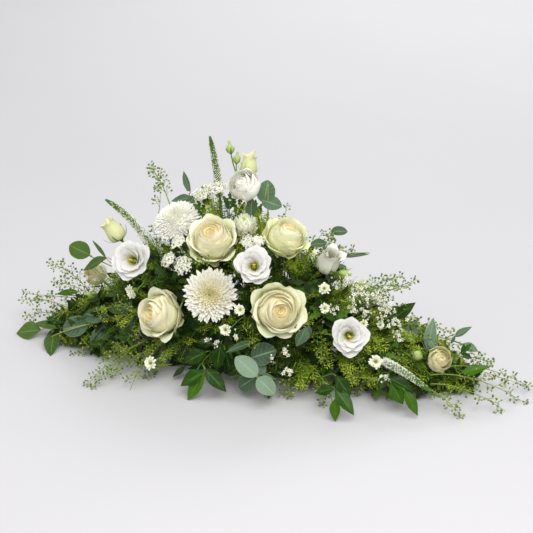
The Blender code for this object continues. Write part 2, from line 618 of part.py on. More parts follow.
def build_tape(name, x):
    half, top = TRAY_WIDTH / 2, FOAM_HIGH + 0.7
    route = [(-half - 0.8, 22.0), (-half - 0.8, 33.0), (-half - TRAY_LIP - 1.0, 37.4), (-half - TRAY_LIP - 1.0, 41.0), (-FOAM_WIDTH / 2 - 1.0, top)]
    route += [(-y, z) for y, z in reversed(route)]
    growth, last = Growth(), None
    for k, (y, z) in enumerate(route):
        before, after = route[max(k - 1, 0)], route[min(k + 1, len(route) - 1)]
        way = unit((0.0, after[0] - before[0], after[1] - before[1]))
        out = np.cross(way, (1.0, 0.0, 0.0)) * TAPE_THICK / 2
        side = np.array((TAPE_WIDTH / 2, 0.0, 0.0))
        c = np.array((x, y, z))
        new = growth.ring([c - side - out, c + side - out, c + side + out, c - side + out])
        if last is None:
            growth.faces.append(tuple(reversed(new)))
        else:
            growth.bridge(last, new)
        last = new
    growth.faces.append(tuple(last))
    return make_object(name, growth.points, growth.faces, "tape")


def build_foam(stems):
    growth, e = Growth(), 1.5
    l, w, lo, hi = FOAM_LENGTH, FOAM_WIDTH, FOAM_LOW, FOAM_HIGH
    loops = [growth.ring([(-a / 2, -b / 2, z), (a / 2, -b / 2, z), (a / 2, b / 2, z), (-a / 2, b / 2, z)])
             for a, b, z in ((l, w, lo), (l, w, hi - e), (l - 2 * e, w - 2 * e, hi))]
    growth.faces.append(tuple(reversed(loops[0])))
    growth.bridge(loops[0], loops[1])
    growth.bridge(loops[1], loops[2])
    growth.faces.append(tuple(loops[2]))
    foam = make_object("foam_brick", growth.points, growth.faces, "foam")
    holes = Growth()
    for name, stem in stems.items():
        t = unit(stem["entry"] - stem["inner"])
        u = side_axes(t)
        w0 = np.cross(t, u)
        sides = 4 if stem["kind"] in LEAF else (8 if stem["heads"] and stem["heads"][0][2] > 24 else 6)
        size = (stem["radius"] * math.cos(math.pi / sides) + HOLE_SPARE) / math.cos(math.pi / sides)
        last = None
        for c in (stem["inner"] - t * 0.6, stem["entry"] + t * 7.0):
            new = holes.ring([c + size * (math.cos(g) * u + math.sin(g) * w0) for g in [2 * math.pi * (j + 0.5) / sides for j in range(sides)]])
            if last is None:
                holes.faces.append(tuple(reversed(new)))
            else:
                holes.bridge(last, new)
            last = new
        holes.faces.append(tuple(last))
    cutter = make_object("stem_holes", holes.points, holes.faces, "foam")
    cutter.hide_render = True
    cutter.display_type = "WIRE"
    cut = foam.modifiers.new("holes", "BOOLEAN")
    cut.operation, cut.solver, cut.object = "DIFFERENCE", "EXACT", cutter
    return foam


def main():
    stems = lay_out()
    space = Space(stems)
    build_tray()
    build_foam(stems)
    build_tape("anchor_tape_left", -TAPE_X)
    build_tape("anchor_tape_right", TAPE_X)
    for name, stem in stems.items():
        growth = build_stem(name, stem, space)
        make_object(name, growth.points, growth.faces, stem["kind"])


main()
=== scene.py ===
"""Pyramid funeral arrangement: the looks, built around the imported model. Metres."""
import math

import bpy
import numpy as np
from mathutils import Matrix, Vector


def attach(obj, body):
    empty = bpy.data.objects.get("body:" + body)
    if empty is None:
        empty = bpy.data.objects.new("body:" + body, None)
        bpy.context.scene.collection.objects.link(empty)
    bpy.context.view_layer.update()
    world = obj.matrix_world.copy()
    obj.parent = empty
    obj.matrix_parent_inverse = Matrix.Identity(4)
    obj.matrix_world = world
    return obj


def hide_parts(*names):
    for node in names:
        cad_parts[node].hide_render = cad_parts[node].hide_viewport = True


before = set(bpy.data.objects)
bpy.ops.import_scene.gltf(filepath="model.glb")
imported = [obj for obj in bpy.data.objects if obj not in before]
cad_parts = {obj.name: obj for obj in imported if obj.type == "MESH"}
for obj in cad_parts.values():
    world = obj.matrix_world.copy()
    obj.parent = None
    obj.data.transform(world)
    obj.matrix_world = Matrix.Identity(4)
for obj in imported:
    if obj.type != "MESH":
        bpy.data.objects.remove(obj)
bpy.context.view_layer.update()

# ------------------------------------------------------------------ layout
# Lengths in this block are millimetres. +X is the viewer's right along the
# arrangement, -Y is its front and +Z is up. The origin is the middle of the
# tray's underside.
TRAY_LENGTH, TRAY_WIDTH, TRAY_HEIGHT, TRAY_WALL, TRAY_LIP = 240.0, 120.0, 40.0, 2.4, 3.0
FOAM_LENGTH, FOAM_WIDTH, FOAM_LOW, FOAM_HIGH = 230.0, 110.0, 2.7, 82.7
TAPE_X, TAPE_WIDTH, TAPE_THICK = 58.0, 12.0, 0.8
STEM_DEPTH = 34.0          # how far a stem goes into the foam
STRAIGHT = 8.0             # straight stretch just outside the foam

# Outline of each flower head: (distance along its axis, radius), as shares
# of the head's radius, from the stem to the top.
PROFILE = {
    "rose": ((-0.92, 0.12), (-0.78, 0.38), (-0.35, 0.82), (0.05, 0.98), (0.26, 1.00), (0.44, 0.66), (0.52, 0.26)),
    "chrysanthemum": ((-0.56, 0.12), (-0.46, 0.42), (-0.22, 0.90), (0.00, 1.00), (0.20, 0.84), (0.38, 0.44)),
    "lisianthus": ((-0.98, 0.12), (-0.80, 0.30), (-0.25, 0.62), (0.14, 0.94), (0.30, 1.00), (0.34, 0.60), (0.26, 0.20)),
    "half_open": ((-1.15, 0.14), (-0.90, 0.60), (-0.20, 1.00), (0.60, 0.86), (1.05, 0.42)),
    "bud": ((-1.30, 0.25), (-0.80, 0.80), (0.00, 1.00), (0.90, 0.70), (1.45, 0.22)),
    "small": ((-0.80, 0.14), (-0.45, 0.45), (0.00, 1.00), (0.25, 0.95), (0.40, 0.40)),
    "umbel": ((-0.75, 0.10), (-0.35, 0.55), (0.00, 1.00), (0.18, 0.80), (0.26, 0.35)),
}
STEM_RADIUS = {
    "rose": 3.2, "chrysanthemum": 2.9, "lisianthus": 2.2, "half_open": 2.0, "small": 1.6, "umbel": 1.6,
    "veronica": 1.8, "eucalyptus": 2.0, "ruscus": 1.8, "thlaspi": 1.5, "fern": 1.7,
}

# name, kind of head, middle of the head, facing, radius,
# side heads: (kind, middle, facing, radius, share of the stem where it branches)
FLOWERS = (
    ("rose_top", "rose", (-34, -80, 247), (0.06, -0.58, 0.81), 42, ()),
    ("rose_left", "rose", (-117, -120, 118), (-0.40, -0.85, 0.35), 42, ()),
    ("rose_right", "rose", (96, -140, 161), (0.42, -0.82, 0.38), 43, ()),
    ("rose_upper_right", "rose", (82, -50, 254), (0.36, -0.30, 0.88), 38, ()),
    ("rose_back_left", "rose", (-85, 88, 168), (-0.35, 0.78, 0.52), 40, ()),
    ("rose_back_right", "rose", (78, 98, 145), (0.35, 0.80, 0.48), 41, ()),
    ("chrysanthemum_front", "chrysanthemum", (-23, -125, 166), (0.18, -0.89, 0.42), 47, ()),
    ("chrysanthemum_upper_left", "chrysanthemum", (-116, -20, 244), (-0.18, -0.56, 0.81), 43, ()),
    ("chrysanthemum_small", "chrysanthemum", (7, -35, 256), (0.05, -0.45, 0.89), 20, ()),
    ("chrysanthemum_back", "chrysanthemum", (-4, 104, 172), (0.05, 0.80, 0.60), 40, ()),
    ("lisianthus_top", "lisianthus", (-1, -15, 317), (-0.25, -0.50, 0.83), 26,
     (("half_open", (-7, 30, 337), (0.05, 0.10, 0.99), 15, 0.72),
      ("bud", (-32, 10, 368), (-0.15, 0.00, 0.99), 6.5, 0.66),
      ("bud", (-18, 2, 354), (0.12, 0.00, 0.99), 6.0, 0.80))),
    ("lisianthus_upper_left", "lisianthus", (-180, -72, 187), (0.00, -0.90, 0.43), 33,
     (("small", (-168, -98, 143), (-0.55, -0.75, -0.20), 14, 0.55),)),
    ("lisianthus_left_bud", "half_open", (-233, -10, 211), (-0.55, -0.15, 0.82), 18, ()),
    ("lisianthus_centre", "lisianthus", (46, -115, 221), (0.20, -0.85, 0.50), 31, ()),
    ("lisianthus_right_front", "lisianthus", (204, -110, 118), (0.30, -0.87, 0.38), 31, ()),
    ("lisianthus_upper_right", "lisianthus", (138, 5, 195), (0.42, -0.40, 0.82), 21,
     (("bud", (168, -14, 182), (0.92, -0.30, 0.10), 7, 0.78),)),
    ("lisianthus_right_end", "lisianthus", (338, -45, 66), (0.50, -0.62, 0.60), 21,
     (("bud", (304, -62, 76), (-0.30, -0.75, 0.58), 8, 0.76),)),
    ("lisianthus_far_left", "lisianthus", (-294, 42, 104), (-0.55, -0.35, 0.76), 21,
     (("bud", (-284, 4, 80), (-0.92, -0.35, 0.15), 7, 0.72),)),
    ("lisianthus_right_rear", "lisianthus", (202, 40, 117), (0.55, 0.10, 0.83), 19, ()),
    ("spray_centre", "small", (36, -152, 159), (0.10, -0.88, 0.46), 10,
     (("small", (11, -152, 121), (-0.10, -0.92, 0.36), 11, 0.70),)),
    ("spray_right", "small", (148, -60, 172), (0.30, -0.60, 0.74), 11,
     (("small", (158, -92, 152), (0.45, -0.80, 0.40), 9, 0.72),)),
    ("spray_front_left", "small", (-113, -165, 51), (-0.20, -0.86, 0.47), 12, ()),
    ("spray_right_front", "small", (248, -112, 80), (0.30, -0.85, 0.42), 12,
     (("small", (262, -118, 52), (0.30, -0.92, 0.20), 10, 0.74),)),
    ("ammi_left", "umbel", (-76, -104, 203), (-0.15, -0.78, 0.60), 15,
     (("umbel", (-104, -98, 206), (-0.50, -0.60, 0.62), 13, 0.80), ("umbel", (-92, -82, 232), (-0.30, -0.40, 0.86), 12, 0.72))),
    ("ammi_top", "umbel", (-50, 2, 302), (0.00, -0.30, 0.95), 15,
     (("umbel", (-76, -2, 288), (-0.40, -0.30, 0.86), 14, 0.80),)),
    ("ammi_centre", "umbel", (26, -74, 243), (0.05, -0.55, 0.83), 12,
     (("umbel", (46, -84, 252), (0.30, -0.50, 0.81), 8, 0.82),)),
    ("waxflower_right", "small", (193, 0, 150), (0.35, -0.30, 0.88), 9,
     (("small", (220, 0, 134), (0.65, -0.20, 0.73), 8, 0.82), ("small", (190, -48, 136), (0.20, -0.75, 0.63), 8, 0.74),
      ("small", (214, -58, 118), (0.45, -0.75, 0.48), 8, 0.66), ("small", (236, -34, 108), (0.75, -0.45, 0.48), 8, 0.60))),
)

# name, kind, tip, direction at the tip, side of the foam it goes in ("" for any)
GREENS = (
    ("veronica_top", "veronica", (-70, 20, 382), (-0.22, 0.00, 0.98), ""),
    ("veronica_left", "veronica", (-250, 0, 260), (-0.90, 0.10, 0.42), ""),
    ("veronica_right", "veronica", (337, -110, 40), (0.84, -0.05, -0.54), ""),
    ("eucalyptus_top_right", "eucalyptus", (40, -14, 322), (0.05, -0.10, 0.99), ""),
    ("eucalyptus_top_left", "eucalyptus", (-112, 26, 288), (-0.20, 0.05, 0.97), ""),
    ("eucalyptus_upper_right", "eucalyptus", (200, 32, 204), (0.90, 0.15, -0.05), ""),
    ("eucalyptus_right_trail", "eucalyptus", (384, 8, 66), (0.93, 0.05, -0.35), "right"),
    ("eucalyptus_front", "eucalyptus", (72, -150, 18), (0.12, -0.25, -0.96), "front"),
    ("eucalyptus_left", "eucalyptus", (-335, -62, 22), (-0.85, 0.10, -0.50), "left"),
    ("eucalyptus_far_left", "eucalyptus", (-404, -14, 9), (-0.95, -0.05, -0.20), "left"),
    ("eucalyptus_upper_left", "eucalyptus", (-300, 16, 150), (-0.90, 0.05, 0.30), "left"),
    ("ruscus_front_left", "ruscus", (-46, -172, 8), (-0.05, -0.35, -0.93), "front"),
    ("ruscus_front_right", "ruscus", (200, -176, 7), (0.30, -0.55, -0.75), "front"),
    ("ruscus_right_front", "ruscus", (314, -118, 8), (0.75, -0.35, -0.50), "right"),
    ("ruscus_right_end", "ruscus", (400, -26, 30), (0.93, -0.15, -0.30), "right"),
    ("ruscus_left", "ruscus", (-346, 24, 62), (-0.92, 0.05, -0.20), "left"),
    ("ruscus_back", "ruscus", (20, 152, 40), (0.05, 0.75, -0.60), "back"),
    ("thlaspi_top_left", "thlaspi", (-160, 4, 312), (-0.45, -0.05, 0.88), ""),
    ("thlaspi_left", "thlaspi", (-412, 34, 52), (-0.90, 0.05, -0.05), "left"),
    ("thlaspi_front_left", "thlaspi", (-212, -172, 12), (-0.50, -0.55, -0.60), "front"),
    ("thlaspi_upper_right", "thlaspi", (262, 34, 156), (0.85, 0.10, 0.35), ""),
    ("thlaspi_right_end", "thlaspi", (460, 2, 18), (0.95, 0.00, -0.20), ""),
    ("fern_left_low", "fern", (-300, -28, 40), (-0.90, -0.15, -0.30), "left"),
    ("fern_right_low", "fern", (352, 40, 34), (0.93, 0.10, -0.30), ""),
    ("fern_front", "fern", (30, -140, 30), (0.00, -0.80, -0.55), "front"),
    ("fern_upper_left", "fern", (-200, 30, 196), (-0.75, 0.10, 0.60), ""),
    ("fern_upper_right", "fern", (150, 44, 206), (0.60, 0.20, 0.72), ""),
    ("fern_back_left", "fern", (-130, 138, 60), (-0.45, 0.75, -0.40), "back"),
    ("fern_back_right", "fern", (170, 132, 56), (0.55, 0.70, -0.40), "back"),
)


def unit(v):
    v = np.asarray(v, float)
    return v / np.linalg.norm(v)


def bezier(p0, p1, p2, p3, count):
    t = np.linspace(0.0, 1.0, count)[:, None]
    return (1 - t) ** 3 * p0 + 3 * (1 - t) ** 2 * t * p1 + 3 * (1 - t) * t ** 2 * p2 + t ** 3 * p3


def resample(points, step):
    """Points along a polyline, about a step apart."""
    gaps = np.linalg.norm(np.diff(points, axis=0), axis=1)
    along = np.concatenate([[0.0], np.cumsum(gaps)])
    count = max(2, int(round(along[-1] / step)) + 1)
    want = np.linspace(0.0, along[-1], count)
    return np.stack([np.interp(want, along, points[:, k]) for k in range(3)], axis=1)


def foam_entries():
    """Places on the foam where a stem can go in: point, outward normal, side."""
    out = []
    for x in np.arange(-102.0, 103.0, 12.0):
        if abs(abs(x) - TAPE_X) < TAPE_WIDTH / 2 + 5:
            continue
        for y in np.arange(-42.0, 43.0, 12.0):
            out.append(((x, y, FOAM_HIGH), (0, 0, 1), "top"))
        for z in (54.0, 66.0):
            out.append(((x, -FOAM_WIDTH / 2, z), (0, -1, 0), "front"))
            out.append(((x, FOAM_WIDTH / 2, z), (0, 1, 0), "back"))
    for y in np.arange(-42.0, 43.0, 10.5):
        for z in (53.0, 63.0, 73.0):
            out.append(((-FOAM_LENGTH / 2, y, z), (-1, 0, 0), "left"))
            out.append(((FOAM_LENGTH / 2, y, z), (1, 0, 0), "right"))
    return [(np.array(p, float), np.array(n, float), side) for p, n, side in out]


def head_gap(points, heads, spare):
    """True where no point is inside one of the heads, each made larger by spare."""
    for middle, axis, radius, kind in heads:
        rel = points - middle
        s = rel @ axis
        rho = np.linalg.norm(rel - s[:, None] * axis, axis=1)
        prof = np.array(PROFILE[kind]) * radius
        order = np.argsort(prof[:, 0])
        edge = np.interp(s, prof[order, 0], prof[order, 1], left=0.0, right=0.0)
        lo, hi = prof[:, 0].min() - spare, prof[:, 0].max() + spare
        inside = (s > lo) & (s < hi) & (rho < np.maximum(edge, 0.15 * radius) + spare)
        if inside.any():
            return False
    return True


def box_gap(points, spare):
    """True where no point is inside the foam, the tray or the tapes."""
    x, y, z = np.abs(points[:, 0]), np.abs(points[:, 1]), points[:, 2]
    foam = (x < FOAM_LENGTH / 2 + spare) & (y < FOAM_WIDTH / 2 + spare) & (z < FOAM_HIGH + spare)
    tray = (x < TRAY_LENGTH / 2 + TRAY_LIP + spare) & (y < TRAY_WIDTH / 2 + TRAY_LIP + spare) & (z < TRAY_HEIGHT + spare)
    tape = (np.abs(x - TAPE_X) < TAPE_WIDTH / 2 + spare) & (y < TRAY_WIDTH / 2 + TRAY_LIP + 1.5 + spare) & (z < FOAM_HIGH + 1.5 + spare)
    return not (foam | tray | tape).any()


def head_of(kind, middle, facing, radius):
    return (np.array(middle, float), unit(facing), float(radius), kind)


def neck_of(head):
    """Where the stem meets a head."""
    middle, axis, radius, kind = head
    return middle + axis * PROFILE[kind][0][0] * radius


def lay_out():
    """Each stem's route, so that no stem runs into another, a head or the tray."""
    heads = {}
    for name, kind, middle, facing, radius, sides in FLOWERS:
        heads[name] = [head_of(kind, middle, facing, radius)] + [head_of(*side[:4]) for side in sides]
    entries = foam_entries()
    stems, used, placed, placed_radius = {}, set(), np.zeros((0, 3)), np.zeros(0)
    centre = np.array([0.0, 0.0, 20.0])
    jobs = [(name, kind, neck_of(heads[name][0]), heads[name][0][1], "", sides) for name, kind, _m, _f, _r, sides in FLOWERS]
    jobs += [(name, kind, np.array(tip, float), unit(way), side, ()) for name, kind, tip, way, side in GREENS]
    for name, kind, end, way, wanted, sides in jobs:
        r = STEM_RADIUS[kind]
        own = heads.get(name, [])
        others = [h for other, group in heads.items() if other != name for h in group]
        options = []
        for index, (q, normal, side) in enumerate(entries):
            if index in used or (wanted and side != wanted):
                continue
            span = np.linalg.norm(end - q)
            straight = (end - q) / span
            radial = unit(q - centre)
            for mix in (0.35, 0.6, 0.85):
                d0 = unit(mix * (0.5 * normal + 0.5 * radial) + (1 - mix) * straight)
                lean = d0 @ normal
                if lean < 0.62:
                    continue
                for a in (0.30, 0.50):
                    for b in (0.25, 0.45):
                        cost = span / 100 + 1.2 * (1 - d0 @ straight) + 0.8 * (1 - way @ straight) * (0.5 - b) + abs(a - 0.4) + abs(mix - 0.6) * 0.5 + (0.35 if side == "top" and end[2] < 110 else 0)
                        options.append((cost, index, d0, a, b))
        options.sort(key=lambda o: (round(o[0], 6), o[1]))
        chosen = None
        for cost, index, d0, a, b in options:
            q, normal, side = entries[index]
            inner = q - d0 * STEM_DEPTH
            if (np.abs(inner[:2]) > (FOAM_LENGTH / 2 - 7, FOAM_WIDTH / 2 - 7)).any() or inner[2] < FOAM_LOW + 7 or inner[2] > FOAM_HIGH - 7:
                continue
            out = q + d0 * STRAIGHT
            span = np.linalg.norm(end - out)
            curve = bezier(out, out + d0 * a * span, end - way * b * span, end, 24)
            outer = resample(curve, 4.0)
            whole = np.concatenate([resample(np.array([inner, out]), 4.0), outer[1:]])
            if outer[:, 2].min() < r + 1.0 or not box_gap(outer[1:], r + 1.5):
                continue
            if not head_gap(outer, others, r + 3.2):
                continue
            if own[1:] and not head_gap(outer, own[1:], r + 1.5):
                continue
            if len(placed):
                gap = np.linalg.norm(whole[:, None] - placed[None], axis=2) - placed_radius[None]
                if gap.min() < r + 2.2:
                    continue
            chosen = (index, inner, q, out, curve, whole)
            break
        if chosen is None:
            raise ValueError("no clear way for " + name)
        index, inner, q, out, curve, whole = chosen
        used.add(index)
        stems[name] = dict(kind=kind, radius=r, inner=inner, entry=q, out=out, curve=curve, whole=whole, heads=own, branches=[])
        before = len(placed)
        twigs = []
        placed = np.concatenate([placed, whole])
        placed_radius = np.concatenate([placed_radius, np.full(len(whole), r)])
        for side_entry, head in zip(sides, own[1:]):
            neck, axis = neck_of(head), head[1]
            best = None
            for shift in (0.0, -0.06, 0.06, -0.12, 0.12, -0.18, 0.18, -0.25, -0.32, -0.4):
                share = min(0.92, side_entry[4] + shift)
                at = int(round(share * 23))
                start, tangent = curve[at], unit(curve[min(at + 1, 23)] - curve[max(at - 1, 0)])
                span = np.linalg.norm(neck - start)
                for a, weight in ((0.35, 1.0), (0.2, 1.0), (0.5, 1.0), (0.35, 0.4), (0.2, 0.3), (0.3, 0.0)):
                    for b in (0.3, 0.15, 0.45):
                        twig = bezier(start, start + unit(weight * tangent + 0.6 * unit(neck - start)) * a * span, neck - axis * b * span, neck, 10)
                        fine = resample(twig, 3.0)
                        mates = [h for h in own if h is not head] + others
                        if fine[:, 2].min() < 3.0 or not box_gap(fine, 2.5) or not head_gap(fine[2:], mates, 2.2):
                            continue
                        away = np.linalg.norm(fine - start, axis=1)
                        far = fine[away > 14.0]
                        if not len(far):
                            far = fine[-1:]
                        gap = np.linalg.norm(far[:, None] - whole[None], axis=2)
                        if gap.min() < r + 1.9:
                            continue
                        gap = np.linalg.norm(fine[:, None] - placed[None, :before], axis=2) - placed_radius[None, :before]
                        if before and gap.min() < 3.0:
                            continue
                        if twigs and min(np.linalg.norm(far[:, None] - t[None], axis=2).min() for t in twigs) < 4.0:
                            continue
                        best = (at, twig, fine, far)
                        break
                    if best:
                        break
                if best:
                    break
            if best is None:
                raise ValueError("no clear twig on " + name)
            at, twig, fine, far = best
            stems[name]["branches"].append((at, twig, head))
            twigs.append(far)
            placed = np.concatenate([placed, far])
            placed_radius = np.concatenate([placed_radius, np.full(len(far), 1.2)])
    return stems


STEMS = lay_out()
ALL_HEADS = [h for s in STEMS.values() for h in s["heads"]]
GOLDEN = math.pi * (3.0 - math.sqrt(5.0))
MM = 0.001


# ------------------------------------------------------------------ camera
AZIMUTH, PITCH, DISTANCE, SCALE = math.radians(17.0), math.radians(22.5), 2.8, 0.0017
ORIGIN_PX, FRAME_PX = (248.0, 358.0), 533.0


def make_camera():
    right = np.array((math.cos(AZIMUTH), math.sin(AZIMUTH), 0.0))
    back = np.array((math.sin(AZIMUTH) * math.cos(PITCH), -math.cos(AZIMUTH) * math.cos(PITCH), math.sin(PITCH)))
    up = np.cross(back, right)
    x = (ORIGIN_PX[0] - FRAME_PX / 2) * SCALE
    y = -(ORIGIN_PX[1] - FRAME_PX / 2) * SCALE
    place = -(x * right + y * up) + back * DISTANCE
    data = bpy.data.cameras.new("camera")
    data.sensor_width = 36.0
    data.sensor_fit = "HORIZONTAL"
    data.lens = 36.0 * (DISTANCE / SCALE) / FRAME_PX
    data.clip_end = 60.0
    camera = bpy.data.objects.new("camera", data)
    camera.matrix_world = Matrix(((right[0], up[0], back[0], place[0]), (right[1], up[1], back[1], place[1]), (right[2], up[2], back[2], place[2]), (0, 0, 0, 1)))
    bpy.context.scene.collection.objects.link(camera)
    bpy.context.scene.camera = camera


# ------------------------------------------------------------------ meshes
class Bag:
    """Points, faces and a tint for each point, gathered for one mesh. Millimetres."""

    def __init__(self):
        self.points, self.tints, self.faces, self.count = [], [], [], 0

    def add(self, points, tints, faces, mat=0):
        points = np.asarray(points, float).reshape(-1, 3)
        tints = np.broadcast_to(np.asarray(tints, float), (len(points), 3))
        faces = np.asarray(faces, np.int64)
        self.points.append(points)
        self.tints.append(tints)
        self.faces.append((faces + self.count, mat))
        self.count += len(points)

    def grid(self, points, tints, mat=0, wrap=False):
        rows, cols = points.shape[:2]
        index = np.arange(rows * cols).reshape(rows, cols)
        if wrap:
            index = np.concatenate([index, index[:, :1]], axis=1)
        quads = np.stack([index[:-1, :-1], index[:-1, 1:], index[1:, 1:], index[1:, :-1]], axis=-1).reshape(-1, 4)
        self.add(points, np.asarray(tints).reshape(-1, 3), quads, mat)

    def moved(self, origin, basis):
        """Turns what is in the bag from a head's own axes into the arrangement's."""
        self.points = [origin + p @ basis.T for p in self.points]
        return self

    def merge(self, other):
        """Takes in another bag whose faces are numbered from its own start."""
        for faces, mat in other.faces:
            self.faces.append((faces + self.count, mat))
        self.points += other.points
        self.tints += other.tints
        self.count += other.count

    def object(self, name, mats, body="root", replaces=None, slot=None, floor=0.5):
        points = np.concatenate(self.points)
        points[:, 2] = np.maximum(points[:, 2], floor)
        tints = np.concatenate(self.tints)
        mesh = bpy.data.meshes.new(name)
        loops, starts, totals, mat_index, at = [], [], [], [], 0
        for faces, mat in self.faces:
            n, k = faces.shape
            loops.append(faces.reshape(-1))
            starts.append(at + np.arange(n) * k)
            totals.append(np.full(n, k))
            mat_index.append(np.full(n, mat))
            at += n * k
        loops, starts, totals, mat_index = (np.concatenate(a).astype(np.int32) for a in (loops, starts, totals, mat_index))
        mesh.vertices.add(len(points))
        mesh.vertices.foreach_set("co", (points * MM).astype(np.float32).reshape(-1))
        mesh.loops.add(len(loops))
        mesh.loops.foreach_set("vertex_index", loops)
        mesh.polygons.add(len(starts))
        mesh.polygons.foreach_set("loop_start", starts)
        mesh.polygons.foreach_set("loop_total", totals)
        mesh.polygons.foreach_set("material_index", mat_index)
        mesh.polygons.foreach_set("use_smooth", np.ones(len(starts), bool))
        tint = mesh.attributes.new("tint", "FLOAT_COLOR", "POINT")
        tint.data.foreach_set("color", np.concatenate([tints, np.ones((len(tints), 1))], axis=1).astype(np.float32).reshape(-1))
        mesh.update(calc_edges=True)
        mesh.validate()
        for mat in mats:
            mesh.materials.append(mat)
        obj = bpy.data.objects.new(name, mesh)
        bpy.context.scene.collection.objects.link(obj)
        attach(obj, body)
        if replaces:
            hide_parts(replaces)
        return obj


def basis_of(axis, spin=0.0):
    """Axes of a head: X level to its right, Y up the front of it, Z its facing."""
    axis = unit(axis)
    x = np.cross((0.0, 0.0, 1.0), axis)
    if np.linalg.norm(x) < 0.12:
        x = np.cross((0.0, 1.0, 0.0), axis)
    x = unit(x)
    y = np.cross(axis, x)
    c, s = math.cos(spin), math.sin(spin)
    return np.stack([c * x + s * y, -s * x + c * y, axis], axis=1)


def tube(bag, path, radius, sides=7, mat=0, tone=0.5, start=0.0, end=1.0, closed=True):
    path = np.asarray(path, float)
    radius = np.broadcast_to(np.asarray(radius, float), (len(path),))
    ways = np.gradient(path, axis=0)
    ways /= np.maximum(np.linalg.norm(ways, axis=1)[:, None], 1e-9)
    u = side_vector(ways[0])
    rings = []
    angles = 2 * math.pi * np.arange(sides) / sides
    for p, t, r in zip(path, ways, radius):
        u = unit(u - t * (u @ t))
        w = np.cross(t, u)
        rings.append(p + r * (np.cos(angles)[:, None] * u + np.sin(angles)[:, None] * w))
    if closed:
        rings = [np.repeat(path[:1], sides, 0) + (rings[0] - path[0]) * 0.03] + rings + [np.repeat(path[-1:], sides, 0) + (rings[-1] - path[-1]) * 0.03]
    rings = np.array(rings)
    along = np.linspace(start, end, len(rings))
    tints = np.stack([np.repeat(along[:, None], sides, 1), np.full(rings.shape[:2], 0.5), np.full(rings.shape[:2], tone)], axis=-1)
    bag.grid(rings, tints, mat, wrap=True)


def side_vector(t):
    u = np.cross(t, (0.0, 0.0, 1.0))
    if np.linalg.norm(u) < 0.2:
        u = np.cross(t, (0.0, 1.0, 0.0))
    return unit(u)


def stem_line(stem, first=0.0):
    """Points along a stem, from where it leaves the foam."""
    line = np.concatenate([[stem["entry"] - unit(stem["entry"] - stem["inner"]) * first], stem["curve"]])
    return resample(line, 5.0)


# ------------------------------------------------------------------ petals
def curve2(p0, p1, p2, p3, t):
    t = t[..., None]
    return (1 - t) ** 3 * p0 + 3 * (1 - t) ** 2 * t * p1 + 3 * (1 - t) * t ** 2 * p2 + t ** 3 * p3


def cup_petal(bag, R, phi, q, side, width, rng, nu=15, nv=13, lean=0.04, curl=0.0, edge=0.0, ruffle=0.0, waves=5, dip=0.22, point=0.03, mat=0, base_wide=0.25):
    """One petal of a cupped bloom. side holds the four points of its outline
    seen from the side, (radius, height) as shares of R."""
    u = np.linspace(-1.0, 1.0, nu)[None, :]
    v = np.linspace(0.0, 1.0, nv)[:, None]
    s = v * (1.0 - dip * np.abs(u) ** 2.4 + point * np.exp(-(u / 0.16) ** 2))
    prof = curve2(*(np.array(p, float) * R for p in side), np.clip(s, 0, 1.03))
    rho, z = prof[..., 0], prof[..., 1]
    open_ = np.clip(v / 0.62, 0, 1)
    half = 0.5 * width * R * (base_wide + (1 - base_wide) * open_ * open_ * (3 - 2 * open_)) * np.ones_like(u)
    turn = np.clip(half / np.maximum(rho, 0.06 * R), 0, 2.1)
    theta = phi + turn * u
    rho = rho + lean * R * u * (0.3 + 0.7 * v)
    tip = np.clip((s - 0.78) / 0.22, 0, 1)
    rho = rho + R * curl * tip ** 1.4
    z = z - R * curl * 0.75 * tip ** 2.2
    rolled = np.clip((np.abs(u) - 0.62) / 0.38, 0, 1) ** 2 * np.clip((v - 0.25) / 0.4, 0, 1)
    rho = rho + R * edge * rolled
    z = z - R * edge * 0.35 * rolled * v
    a, b, c = rng.uniform(0, 6.28, 3)
    wob = 0.014 * np.sin(2.3 * u + a + 2.0 * v) + 0.010 * np.sin(4.1 * u * v + b)
    rho = rho + R * wob * v
    if ruffle:
        fade = np.clip((s - 0.55) / 0.45, 0, 1) ** 1.6
        rho = rho + R * ruffle * fade * (np.sin(waves * u + a) + 0.5 * np.sin(2.1 * waves * u + b))
        z = z + R * ruffle * 0.8 * fade * (np.sin(1.3 * waves * u + c) + 0.45 * np.sin(2.6 * waves * u + a))
    points = np.stack([rho * np.cos(theta), rho * np.sin(theta), z], axis=-1)
    tints = np.stack([np.broadcast_to(np.clip(s, 0, 1), points.shape[:2]), np.full(points.shape[:2], q), np.full(points.shape[:2], rng.uniform())], axis=-1)
    bag.grid(points, tints, mat)


def inner_mound(bag, R, shape, mat=0, sides=28):
    """The close-packed inside of a bloom: shape lists radius, height and place in the petal order."""
    g = 2 * math.pi * np.arange(sides) / sides
    rows = np.array(shape, float)
    points = np.stack([rows[:, :1] * np.cos(g)[None] * R, rows[:, :1] * np.sin(g)[None] * R, np.repeat(rows[:, 1:2], sides, 1) * R], axis=-1)
    tints = np.stack([np.full(points.shape[:2], 0.62), np.repeat(rows[:, 2:3], sides, 1), np.full(points.shape[:2], 0.3)], axis=-1)
    bag.grid(points[::-1], tints[::-1], mat, wrap=True)


